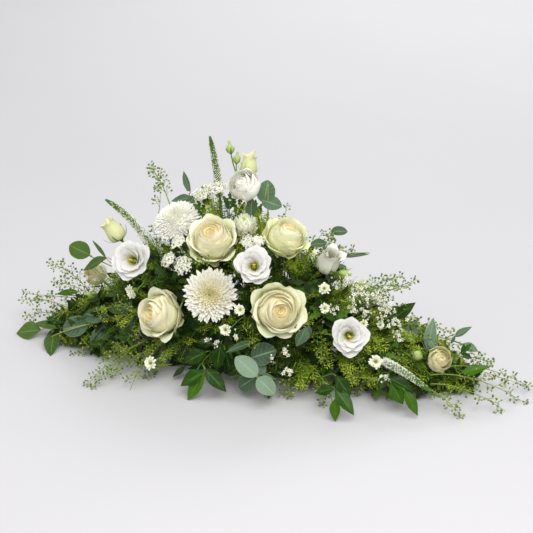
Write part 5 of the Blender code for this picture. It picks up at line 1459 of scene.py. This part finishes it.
# leaves placed one by one: stem, outline, foot and tip in the picture, width in picture units,
# depth of foot and tip ("z" marks heights), lean of the blade to the right and up
PLACED = (
    ("eucalyptus_far_left", "ovate", (41, 330), (16, 332), 18, "z", 14, 5, 0.1, 0.9),
    ("eucalyptus_far_left", "ovate", (54, 331), (50, 354.5), 17, "z", 16, 3, -0.1, 0.2),
    ("eucalyptus_far_left", "ovate", (60, 328), (34, 321), 10, "z", 28, 24, 0.0, 1.2),
    ("eucalyptus_far_left", "ovate", (66, 323), (45, 316), 9, "z", 36, 34, 0.0, 0.9),
    ("eucalyptus_left", "round", (89, 324), (62, 329), 21, "z", 54, 38, 0.0, 0.3),
    ("eucalyptus_left", "round", (107, 318), (83, 312), 17, "z", 76, 68, 0.1, 0.5),
    ("eucalyptus_left", "round", (130, 311), (111, 300), 20, "z", 100, 92, 0.2, 0.2),
    ("eucalyptus_left", "round", (112, 323), (89, 345), 15, "z", 60, 26, -0.3, 0.2),
    ("eucalyptus_left", "round", (132, 316), (123, 334), 13, "z", 86, 64, 0.4, 0.2),
    ("eucalyptus_upper_left", "round", (90, 255), (69, 245), 19, "y", 10, 20, 0.0, 0.2),
    ("eucalyptus_upper_left", "ovate", (107, 258), (81, 269), 10, "y", -5, 12, 0.0, 0.8),
    ("eucalyptus_upper_left", "narrow", (106, 258), (93, 240), 4, "y", -5, 4, 0.5, 0.2),
    ("eucalyptus_top_left", "narrow", (190, 193), (183, 172), 7, "y", 20, 26, -0.5, 0.0),
    ("eucalyptus_top_left", "ovate", (192, 198), (171, 200), 9, "y", 18, 18, 0.0, 0.8),
    ("eucalyptus_top_left", "ovate", (196, 196), (186, 206), 9, "y", 16, 6, 0.0, 0.5),
    ("eucalyptus_top_right", "round", (264, 203), (268, 181), 18, "y", -10, -4, 0.1, 0.0),
    ("eucalyptus_top_right", "round", (262, 200), (281, 206), 14, "y", -12, -16, 0.1, 0.3),
    ("eucalyptus_top_right", "ovate", (251, 219.5), (251, 197), 10, "y", -20, -16, -0.6, 0.0),
    ("eucalyptus_upper_right", "round", (331, 231), (347, 231), 9.5, "y", 30, 34, 0.0, 0.8),
    ("eucalyptus_upper_right", "ovate", (327, 243), (309, 244), 9, "y", 24, 14, 0.0, 0.7),
    ("eucalyptus_upper_right", "ovate", (343, 257), (368, 253), 5, "y", 26, 30, 0.0, 1.6),
    ("eucalyptus_upper_right", "ovate", (309, 268), (301, 253), 9, "y", 10, 14, -0.3, 0.2),
    ("eucalyptus_right_trail", "ovate", (405, 342), (418, 320), 14, "y", -10, 6, 0.3, 0.1),
    ("eucalyptus_right_trail", "ovate", (428, 351), (433, 319), 12, "y", -22, -14, -0.3, 0.0),
    ("eucalyptus_right_trail", "ovate", (428, 338), (438, 350), 9, "y", -20, -26, 0.2, 0.2),
    ("eucalyptus_right_trail", "ovate", (402, 335), (410, 347), 8, "y", -12, -20, 0.2, 0.3),
    ("eucalyptus_right_trail", "ovate", (454, 337), (471, 326.5), 6.5, "y", -6, 0, 0.0, 0.9),
    ("eucalyptus_right_trail", "narrow", (455, 336), (451, 344), 3.5, "y", -8, -12, 0.5, 0.1),
    ("eucalyptus_right_trail", "ovate", (462, 344), (478, 351), 9, "y", -10, -14, 0.0, 0.4),
    ("eucalyptus_front", "round", (251, 358), (275, 350), 21, "y", -146, -140, 0.1, 0.5),
    ("eucalyptus_front", "round", (257, 376), (236, 357), 18, "y", -166, -160, 0.0, 0.4),
    ("eucalyptus_front", "round", (257.5, 378), (274, 393.5), 17, "y", -168, -176, 0.1, 0.3),
    ("eucalyptus_front", "round", (256, 377), (238, 388), 17, "y", -158, -150, -0.3, 0.1),
    ("eucalyptus_front", "round", (256, 375), (264, 362), 12, "y", -156, -146, 0.4, 0.3),
    ("eucalyptus_front", "ovate", (254, 342), (225, 351), 7, "y", -136, -146, 0.0, 1.3),
    ("eucalyptus_front", "ovate", (259, 373), (277, 379), 4, "y", -162, -150, 0.0, 1.6),
    ("eucalyptus_front", "ovate", (306, 327), (297, 347), 12, "y", -140, -146, 0.5, 0.1),
    ("eucalyptus_front", "ovate", (309, 325), (303, 340), 9, "y", -132, -136, 0.8, 0.1),
    ("ruscus_front_left", "ovate", (204, 371), (180, 385), 13, "y", -160, -174, -0.1, 0.9),
    ("ruscus_front_left", "ovate", (204, 373), (187, 400), 13, "y", -164, -182, -0.2, 0.3),
    ("ruscus_front_left", "ovate", (205, 369), (226, 391), 14, "y", -162, -170, 0.2, 0.3),
    ("ruscus_front_left", "ovate", (206, 352), (184, 362), 14, "y", -142, -154, -0.1, 0.7),
    ("ruscus_front_left", "ovate", (221, 344), (216, 371), 13, "y", -140, -152, -0.1, 0.4),
    ("ruscus_front_left", "ovate", (225, 350), (231, 373), 8, "y", -138, -146, 0.5, 0.1),
    ("ruscus_front_left", "ovate", (212, 344), (198, 341), 10, "y", -136, -140, 0.0, 0.6),
    ("ruscus_front_right", "ovate", (335, 389), (354, 414), 13, "y", -164, -180, 0.2, 0.5),
    ("ruscus_front_right", "ovate", (335, 399), (335, 421), 10.5, "y", -172, -184, -0.2, 0.4),
    ("ruscus_front_right", "ovate", (336, 376), (350, 396), 13, "y", -154, -162, 0.1, 0.4),
    ("ruscus_front_right", "ovate", (334, 389), (315, 392), 10, "y", -160, -166, 0.0, 0.8),
    ("ruscus_right_front", "ovate", (391, 383), (403, 404), 14, "y", -124, -134, -0.2, 0.4),
    ("ruscus_right_front", "ovate", (389, 378), (414, 391), 12, "y", -118, -116, 0.2, 0.7),
    ("ruscus_right_front", "ovate", (405, 391), (418, 415), 10.5, "y", -128, -140, 0.1, 0.5),
    ("ruscus_right_front", "ovate", (388, 377), (378, 389), 9, "y", -124, -136, -0.2, 0.5),
    ("ruscus_right_end", "ovate", (461, 373), (489, 366), 9, "y", -40, -30, 0.1, 0.7),
    ("ruscus_right_end", "ovate", (393, 319), (414.5, 303), 12, "y", 18, 26, 0.0, 0.3),
    ("ruscus_right_end", "ovate", (383, 317), (398, 306), 9, "y", 20, 22, 0.0, 0.6),
    ("ruscus_right_end", "narrow", (462, 355), (464, 344), 4.5, "y", -34, -34, 0.0, 0.2),
    ("ruscus_right_end", "narrow", (462, 354), (471.5, 358), 5.5, "y", -34, -36, 0.0, 0.2),
    ("ruscus_right_end", "narrow", (463, 352), (471, 344), 5, "y", -34, -32, 0.0, 0.2),
    ("ruscus_left", "ovate", (79, 292), (56, 293), 7, "y", 24, 20, 0.0, 0.9),
    ("ruscus_left", "ovate", (92, 296), (74, 303), 10, "y", 10, 2, 0.0, 0.6),
)


# how light each placed leaf is, where the picture tells them apart: partly each leaf's own tone and partly painted
# light and shade, lighter for leaves that stand lit and darker for those that lie in shade
LEAF_TONES_AND_PAINTED_LIGHT = {
    "eucalyptus_front": (0.15, 1.0, 0.9, 0.3, 0.6, 0.35, 0.4, 0.5, 0.3), "ruscus_front_left": (0.5, 0.8, 0.35, 0.25, 0.2, 0.0, 0.1), "ruscus_front_right": (0.55, 0.75, 0.3, 0.3),
    "ruscus_right_front": (0.6, 0.15, 0.7, 0.2), "eucalyptus_left": (0.45, 0.35, 0.25, 0.4, 0.2), "eucalyptus_top_right": (0.5, 0.55, 0.3), "eucalyptus_right_trail": (0.7, 0.8, 0.6, 0.6, 0.5, 0.3, 0.7),
}


def place_leaf(bag, line, rng, row, tone, mat=0, stem_mat=1):
    _name, outline, foot, tip, wide, mode, near, far, right, up = row
    if mode == "z":
        a, b = seen(*foot, z=near), seen(*tip, z=far)
    else:
        a, b = seen(*foot, y=near), seen(*tip, y=far)
    a[2], b[2] = max(a[2], 2.5), max(b[2], 1.8)
    axis = b - a
    length = np.linalg.norm(axis)
    face = unit(VIEW_BACK + right * VIEW_RIGHT + up * np.array((0, 0, 1.0)))
    across = np.cross(unit(axis), face)
    fit = 1.7 * wide / max(0.45, abs(unit(np.cross(unit(axis), face)) @ unit(np.cross(unit(axis), VIEW_BACK))))
    leaf(bag, a, axis, across, length * 1.03, fit, outline, bend=0.16, fold=0.10 if outline == "round" else 0.22, cup=0.04, wave=0.05, mat=mat, tone=tone, nu=11, nv=16, rng=rng)
    near_by = np.linalg.norm(line - a, axis=1)
    i = int(np.argmin(near_by))
    if near_by[i] > 2.0:
        back = max(0, i - int(near_by[i] / 6.0))
        mid = (line[back] + a) / 2 + np.array((0, 0, 3.0))
        mid[2] = max(mid[2], 2.0)
        tube(bag, bezier(line[back], line[back] + (mid - line[back]) * 0.6, a - unit(axis) * min(10.0, near_by[i] * 0.4), a, 8), np.linspace(0.9, 0.6, 8), 5, stem_mat, 0.6, closed=False)


def build_greens(m):
    for number, (name, kind, tip, way, _side) in enumerate(GREENS):
        stem = STEMS[name]
        rng = np.random.default_rng(300 + number)
        line = stem_line(stem, 3.0)
        bag = Bag()
        placed = [row for row in PLACED if row[0] == name]
        inner = line[:max(8, int(len(line) * 0.55))] if placed else line
        if kind == "veronica":
            tube(bag, line[:-8], np.linspace(1.6, 1.2, len(line) - 8), 7, 2, 0.4, closed=False)
            spike_bloom(bag, line, rng, length=104.0 if name != "veronica_right" else 92.0)
            mats = [m["spike"], m["lace"], m["stem"]]
        elif kind == "eucalyptus":
            green = name in ("eucalyptus_far_left", "eucalyptus_upper_left")
            if placed:
                tube(bag, line, np.linspace(1.5, 0.8, len(line)), 6, 1, 0.5)
                inner = inner[len(inner) // 2:] if name == "eucalyptus_right_trail" else inner
            grow_round_leaves(bag, inner, rng, 27.0, 38.0, first=30.0, mat=0, stem_mat=1, skip_tip=bool(placed))
            mats = [m["eucalyptus_green" if green else "eucalyptus"], m["woody"]]
        elif kind == "ruscus":
            if placed:
                tube(bag, line, np.linspace(1.3, 0.7, len(line)), 6, 1, 0.5)
            grow_round_leaves(bag, inner, rng, 21.0, 44.0, first=36.0, shape="lance", ratio=0.44, side_lean=46.0, droop=0.25, mat=0, stem_mat=1, stem_radius=1.3, skip_tip=bool(placed))
            mats = [m["ruscus"], m["stem"]]
        elif kind == "thlaspi":
            pods(bag, line, rng, racemes=7 if name == "thlaspi_top_left" else 10, length=22.0 if name in ("thlaspi_right_end", "thlaspi_top_left") else 32.0, count=9, pod=1.9)
            mats = [m["pod"], m["pod_stem"]]
        else:
            feather(bag, line, rng, pinna=34.0, pairs=26, needles=18, thick=1.1, needle=6.5)
            mats = [m["fern"], m["stem"]]
        # each placed leaf's tone, partly its own and partly painted light and shade; the other leaves take a random
        # tone
        tones = LEAF_TONES_AND_PAINTED_LIGHT.get(name, ())
        for k, row in enumerate(placed):
            place_leaf(bag, line, rng, row, tones[k] if k < len(tones) else rng.uniform(0.2, 0.8))
        bag.object(name + "_spray", mats, replaces=name, slot=SLOTS[kind])


# the bed of foliage: height, reach to the front and reach to the back along the length
TENT_X = (-365, -325, -290, -240, -180, -110, -60, 0, 60, 110, 150, 200, 260, 320, 365, 395)
TENT_Z = (22, 50, 80, 136, 190, 232, 262, 272, 246, 212, 186, 150, 108, 70, 40, 18)
TENT_F = (24, 44, 66, 94, 120, 136, 142, 144, 144, 142, 134, 118, 94, 64, 36, 18)
TENT_B = (20, 38, 58, 82, 102, 118, 124, 126, 126, 122, 114, 102, 84, 58, 36, 18)

# sprigs of podded filler placed one by one: root and tip in the picture, depth or height of each, length of the twigs
POD_SPRIGS = (
    ((84, 318), (27, 300), "y", -10, 20, 14), ((84, 322), (30, 315), "y", -20, 0, 12), ((88, 290), (55, 265), "y", 30, 34, 13), ((96, 300), (60, 283), "y", 10, 16, 14),
    ((150, 340), (92, 389), "z", 46, 3, 18), ((156, 344), (130, 390), "z", 44, 3, 16), ((140, 338), (78, 352), "z", 40, 6, 15), ((164, 346), (150, 372), "z", 44, 10, 15), ((120, 338), (66, 342), "z", 30, 5, 12),
    ((150, 350), (112, 378), "z", 40, 6, 16), ((170, 205), (154, 171), "y", 6, 10, 13),
    ((430, 375), (520, 400), "z", 44, 5, 13), ((440, 368), (524, 384), "z", 50, 12, 11), ((430, 384), (505, 411), "z", 36, 4, 13), ((420, 386), (463, 417), "z", 34, 4, 11), ((444, 360), (487, 361), "y", -30, -20, 10),
    ((350, 300), (402, 286), "y", 10, 24, 13), ((352, 304), (396, 277), "y", 20, 34, 11), ((380, 330), (446, 330), "y", -10, 4, 12), ((396, 344), (454, 344), "y", -20, -10, 10),
    ((318, 270), (348, 250), "y", 20, 30, 10), ((318, 262), (331, 235), "y", 24, 30, 8),
    ((296, 362), (287, 396), "z", 60, 4, 12), ((310, 360), (300, 385), "z", 60, 8, 14), ((322, 368), (324, 405), "z", 50, 3, 10), ((338, 362), (360, 392), "z", 60, 8, 13), ((356, 360), (372, 385), "z", 60, 14, 13),
    ((196, 268), (214, 256), "y", -100, -110, 8),
)


# sprays in the gap between the top flowers: root and tip in the picture, depth of each, what grows there
TOP_SPRAYS = (
    ((214, 236), (196, 199), -6, 6, "fern_light"), ((216, 236), (205, 196), -4, 8, "lobed"), ((220, 238), (213, 197), -6, 4, "fern_light"), ((224, 238), (221, 198), -4, 8, "fern"),
    ((228, 240), (230, 200), -6, 6, "lobed"), ((232, 240), (239, 206), -8, 4, "lobed"), ((206, 236), (188, 204), -10, 10, "fern"), ((210, 238), (200, 206), -18, -6, "lobed"),
    ((236, 240), (226, 206), 10, 14, "fern"), ((212, 236), (209, 204), -16, -8, "fern_light"), ((240, 238), (247, 209), 0, 8, "fern"), ((218, 238), (217, 206), 12, 16, "fern"),
    ((262, 240), (268, 214), 6, 12, "fern_light"), ((258, 238), (256, 208), 8, 12, "lobed"),
)


def tent_point(x, angle, share=1.0):
    """A place in the bed of foliage: angle 0 is the front edge, pi the back; share 1 is its outside."""
    z, f, b = np.interp(x, TENT_X, TENT_Z), np.interp(x, TENT_X, TENT_F), np.interp(x, TENT_X, TENT_B)
    c, s = math.cos(angle), math.sin(angle)
    return np.array((x, share * (-f * c if c > 0 else -b * c), share * z * abs(s) ** 0.85 + 3.0))


def spread(k, lo, hi, step):
    return lo + (hi - lo) * ((k * step) % 1.0)


def tent_out(x, angle):
    """The way out of the bed at a place on it."""
    here = tent_point(x, angle)
    n = unit(np.cross(tent_point(x + 6.0, angle) - here, tent_point(x, min(angle + 0.05, math.pi - 0.01)) - here))
    return n if n @ (here - np.array((x * 0.8, 0.0, 40.0))) > 0 else -n


def bed_line(rng, tip, long_, sag):
    """A twig that comes out of the middle of the bed and ends at tip."""
    core = np.array((np.clip(tip[0] * 0.62, -150, 170), 0.0, 46.0))
    way = unit(unit(tip - core) + rng.normal(0, 0.20, 3) + np.array((0, 0, -0.10)))
    base = tip - way * long_
    base[2] = max(base[2], 12.0)
    line = resample(bezier(base, base + way * long_ * 0.4 + (0, 0, 6), tip - way * long_ * 0.3 + (0, 0, 6), tip - (0, 0, sag), 14), 5.0)
    line[:, 2] = np.maximum(line[:, 2], 2.0)
    return line


def build_fill(m):
    rng = np.random.default_rng(5150)
    groups = {}

    def group(kind, x, angle):
        side = "front" if angle < math.pi * 0.5 else "back"
        third = "left" if x < -110 else ("right" if x > 130 else "middle")
        return groups.setdefault((kind, side + "_" + third), Bag())

    # dark leaves in the depth of the bed, coloured dark as painted shade
    for k in range(2200):
        x, angle = spread(k, -352, 380, 0.6180339887), math.pi * spread(k, 0.01, 0.99, 0.7548776662)
        share = rng.uniform(0.30, 0.62) if k % 3 == 0 else rng.uniform(0.62, 0.90)
        at, out = tent_point(x, angle, share), tent_out(x, angle)
        size = rng.uniform(20, 34) * np.interp(abs(x), (0, 300, 450), (1, 0.85, 0.6)) * (1.4 if k % 3 == 0 else 1.0)
        along = unit(rng.normal(0, 1, 3) + np.array((0.25 * np.sign(x), -0.2 if angle < 1.57 else 0.2, -0.15)) + out * rng.uniform(-0.2, 0.7))
        wide = unit(np.cross(along, out + rng.normal(0, 0.35, 3)))
        if at[2] + along[2] * size < 2 or not leaf_clear(at, along, size, size * 0.5, -14.0 if k % 3 == 0 else 0.0):
            continue
        leaf(group("shade", x, angle), at, along, wide, size, size * rng.uniform(0.30, 0.5), "ovate" if k % 3 else "lance", bend=rng.normal(0.3, 0.25), fold=0.18, wave=0.06, tone=rng.uniform() ** 1.5, nu=4, nv=6, rng=rng)
    # sprays that make its outside
    for k in range(560):
        x = spread(k, -355, 385, 0.6180339887)
        angle = math.pi * spread(k + 0.5, 0.02, 0.98, 0.7548776662)
        pick = rng.uniform()
        if angle > 0.62 * math.pi and rng.uniform() < 0.25:
            continue
        if pick < 0.40:
            line = bed_line(rng, tent_point(x, angle, rng.uniform(0.84, 1.0)), rng.uniform(60, 95) * np.interp(abs(x), (0, 300, 450), (1, 0.85, 0.6)), rng.uniform(2, 14))
            if head_gap(line[len(line) // 2:], ALL_HEADS, 1.0):
                feather(group("fern", x, angle), line, rng, pinna=26.0, pairs=12, needles=10, needle=8.5, thick=1.25, spread=52.0)
        elif pick < 0.80:
            line = bed_line(rng, tent_point(x, angle, rng.uniform(0.92, 1.05)), rng.uniform(45, 75) * np.interp(abs(x), (0, 300, 450), (1, 0.85, 0.7)), rng.uniform(0, 10))
            if head_gap(line[len(line) // 2:], ALL_HEADS, 1.0):
                if k % 2:
                    feather(group("fern_light", x, angle), line, rng, pinna=18.0, pairs=10, needles=8, needle=7.0, thick=1.5, spread=46.0)
                else:
                    feather(group("fern_light", x, angle), line, rng, pinna=27.0, pairs=8, needles=5, needle=12.0, thick=1.35, spread=27.0)
        elif pick < 0.92:
            line = bed_line(rng, tent_point(x, angle, rng.uniform(0.86, 0.98)), rng.uniform(50, 80), rng.uniform(2, 12))
            for j in range(7):
                i = int(len(line) * (0.35 + 0.09 * j))
                if i > len(line) - 2:
                    break
                t = unit(line[i + 1] - line[i])
                side = unit(np.cross(t, (0, 0, 1.0)) + rng.normal(0, 0.3, 3)) * (1 if j % 2 else -1)
                along = unit(t * 0.7 + side * 0.8)
                size = rng.uniform(20, 30)
                if line[i][2] + along[2] * size > 2 and leaf_clear(line[i], along, size, size * 0.5, 1.0):
                    leaf(group("lobed", x, angle), line[i], along, unit(np.cross(along, tent_out(x, angle) + rng.normal(0, 0.25, 3))), size, size * 0.62, "ovate", bend=0.4, fold=0.2, wave=0.1, lobes=0.55, tone=rng.uniform(), nu=5, nv=15, rng=rng)
            tube(group("lobed", x, angle), line, np.linspace(1.1, 0.6, len(line)), 4, 1, 0.5, closed=False)
        else:
            line = bed_line(rng, tent_point(x, angle, rng.uniform(0.96, 1.10)), rng.uniform(55, 85), rng.uniform(0, 8))
            if head_gap(line[len(line) // 2:], ALL_HEADS, 1.0):
                pods(group("pods", x, angle), line, rng, racemes=5, length=20.0, count=7, pod=1.8)
    for k, (root, tip, mode, near, far, twigs) in enumerate(POD_SPRIGS):
        a = seen(*root, z=near) if mode == "z" else seen(*root, y=near)
        b = seen(*tip, z=far) if mode == "z" else seen(*tip, y=far)
        lift = np.array((0, 0, 0.16 * np.linalg.norm(b - a)))
        line = resample(bezier(a, a + (b - a) * 0.35 + lift, a + (b - a) * 0.75 + lift * 0.6, b, 16), 4.0)
        line[:, 2] = np.maximum(line[:, 2], 2.0)
        pods(group("pods", b[0], 0.3), line, rng, racemes=7, length=twigs * 1.7, count=6, pod=2.1, first=0.30, spread=38.0, radius=0.75)
    for root, tip, near, far, kind in TOP_SPRAYS:
        a, b = seen(*root, y=near), seen(*tip, y=far)
        line = resample(bezier(a, a + (b - a) * 0.4, b - (b - a) * 0.3, b, 12), 4.0)
        bag = group(kind, b[0], 0.3)
        if kind != "lobed":
            feather(bag, line, rng, pinna=19.0, pairs=11, needles=7, needle=8.0, thick=1.4, spread=38.0)
            continue
        tube(bag, line, np.linspace(1.1, 0.6, len(line)), 4, 1, 0.5, closed=False)
        for j, turn in enumerate((0.0, 0.8, -0.8, 0.6, -0.6)):
            along = unit(unit(b - a) + turn * VIEW_RIGHT)
            foot, size = line[max(0, len(line) - 1 - 2 * ((j + 1) // 2))], rng.uniform(14, 20)
            leaf(bag, foot, along, unit(np.cross(along, VIEW_BACK + rng.normal(0, 0.35, 3))), size, size * 0.6, "ovate", bend=0.4, fold=0.2, wave=0.1, lobes=0.5, tone=rng.uniform(), nu=5, nv=15, rng=rng)
    mats = {"shade": ("shade",), "fern": ("fern", "stem"), "fern_light": ("fern_light", "pod_stem"), "lobed": ("broad", "stem"), "pods": ("pod", "pod_stem")}
    slots = {"shade": "ruscus_leaves", "fern": "fern_fronds", "fern_light": "fern_fronds", "lobed": "ruscus_leaves", "pods": "podded_filler"}
    for (kind, zone), bag in groups.items():
        bag.object("bed_" + kind + "_" + zone, [m[x] for x in mats[kind]], slot=slots[kind])


# small white florets that show between the greens: picture position, depth, how many, how wide the cluster is
WAX = (
    (372, 296, -14, 20, 26), (356, 286, -24, 12, 20), (386, 306, -10, 15, 22), (362, 312, -40, 11, 22), (344, 280, -24, 9, 16), (396, 320, -16, 11, 20), (380, 318, -34, 12, 20), (352, 300, -50, 8, 16), (398, 334, -34, 10, 18),
    (332, 312, -70, 5, 14), (270, 362, -140, 7, 14), (284, 352, -140, 6, 14), (216, 342, -140, 4, 8), (286, 372, -150, 7, 12), (98, 270, 14, 6, 16), (90, 284, 20, 7, 20), (186, 250, -40, 6, 14),
    (198, 193, 0, 12, 8), (208, 189, 0, 13, 9), (218, 186, 2, 12, 8), (212, 197, -4, 7, 9), (385, 378, -126, 6, 8), (236, 337, -140, 4, 8), (150, 362, -150, 5, 8), (382, 292, 10, 7, 18), (206, 340, -140, 3, 8),
)


def build_wax(m):
    rng = np.random.default_rng(77)
    left, right = Bag(), Bag()
    for px, py, y, count, wide in WAX:
        bag = left if px < 300 else right
        middle = seen(px, py, y=y)
        foot = middle * 0.78 + np.array((0, 0, -6.0))
        for _ in range(count):
            at = middle + rng.normal(0, 0.42, 3) * wide * np.array((1, 0.6, 0.8))
            at[2] = max(at[2], 6.0)
            if not head_gap(at[None], ALL_HEADS, 1.5):
                continue
            tube(bag, bezier(foot, foot + (at - foot) * 0.4, at - np.array((0, 0, 8.0)), at, 5), 0.4, 4, 1, 0.7, closed=False)
            way = unit(VIEW_BACK + rng.normal(0, 0.7, 3) + np.array((0, 0, 0.3)))
            star(bag, at, way, rng.uniform(3.0, 4.6), rng, petals=5, mat=0, eye=1)
            if rng.uniform() < 0.6:
                bud = at + rng.normal(0, 4.5, 3)
                if bud[2] > 4 and head_gap(bud[None], ALL_HEADS, 1.5):
                    blob(bag, bud, (1.5, 1.5, 2.0), 0, 0.3, 6, 5)
                    tube(bag, [at, (at + bud) / 2 - (0, 0, 1.0), bud], 0.3, 3, 1, 0.7, closed=False)
    for name, bag in (("left", left), ("right", right)):
        bag.object("waxflower_sprigs_" + name, [m["wax"], m["pod_stem"]], slot="waxflower")


def main():
    m = make_materials()
    make_camera()
    make_studio(m)
    for node, mat in (("tray", "tray"), ("foam_brick", "foam"), ("anchor_tape_left", "tape"), ("anchor_tape_right", "tape")):
        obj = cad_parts[node]
        obj.data.materials.clear()
        obj.data.materials.append(m[mat])
    build_flowers(m)
    build_greens(m)
    build_fill(m)
    build_wax(m)


main()
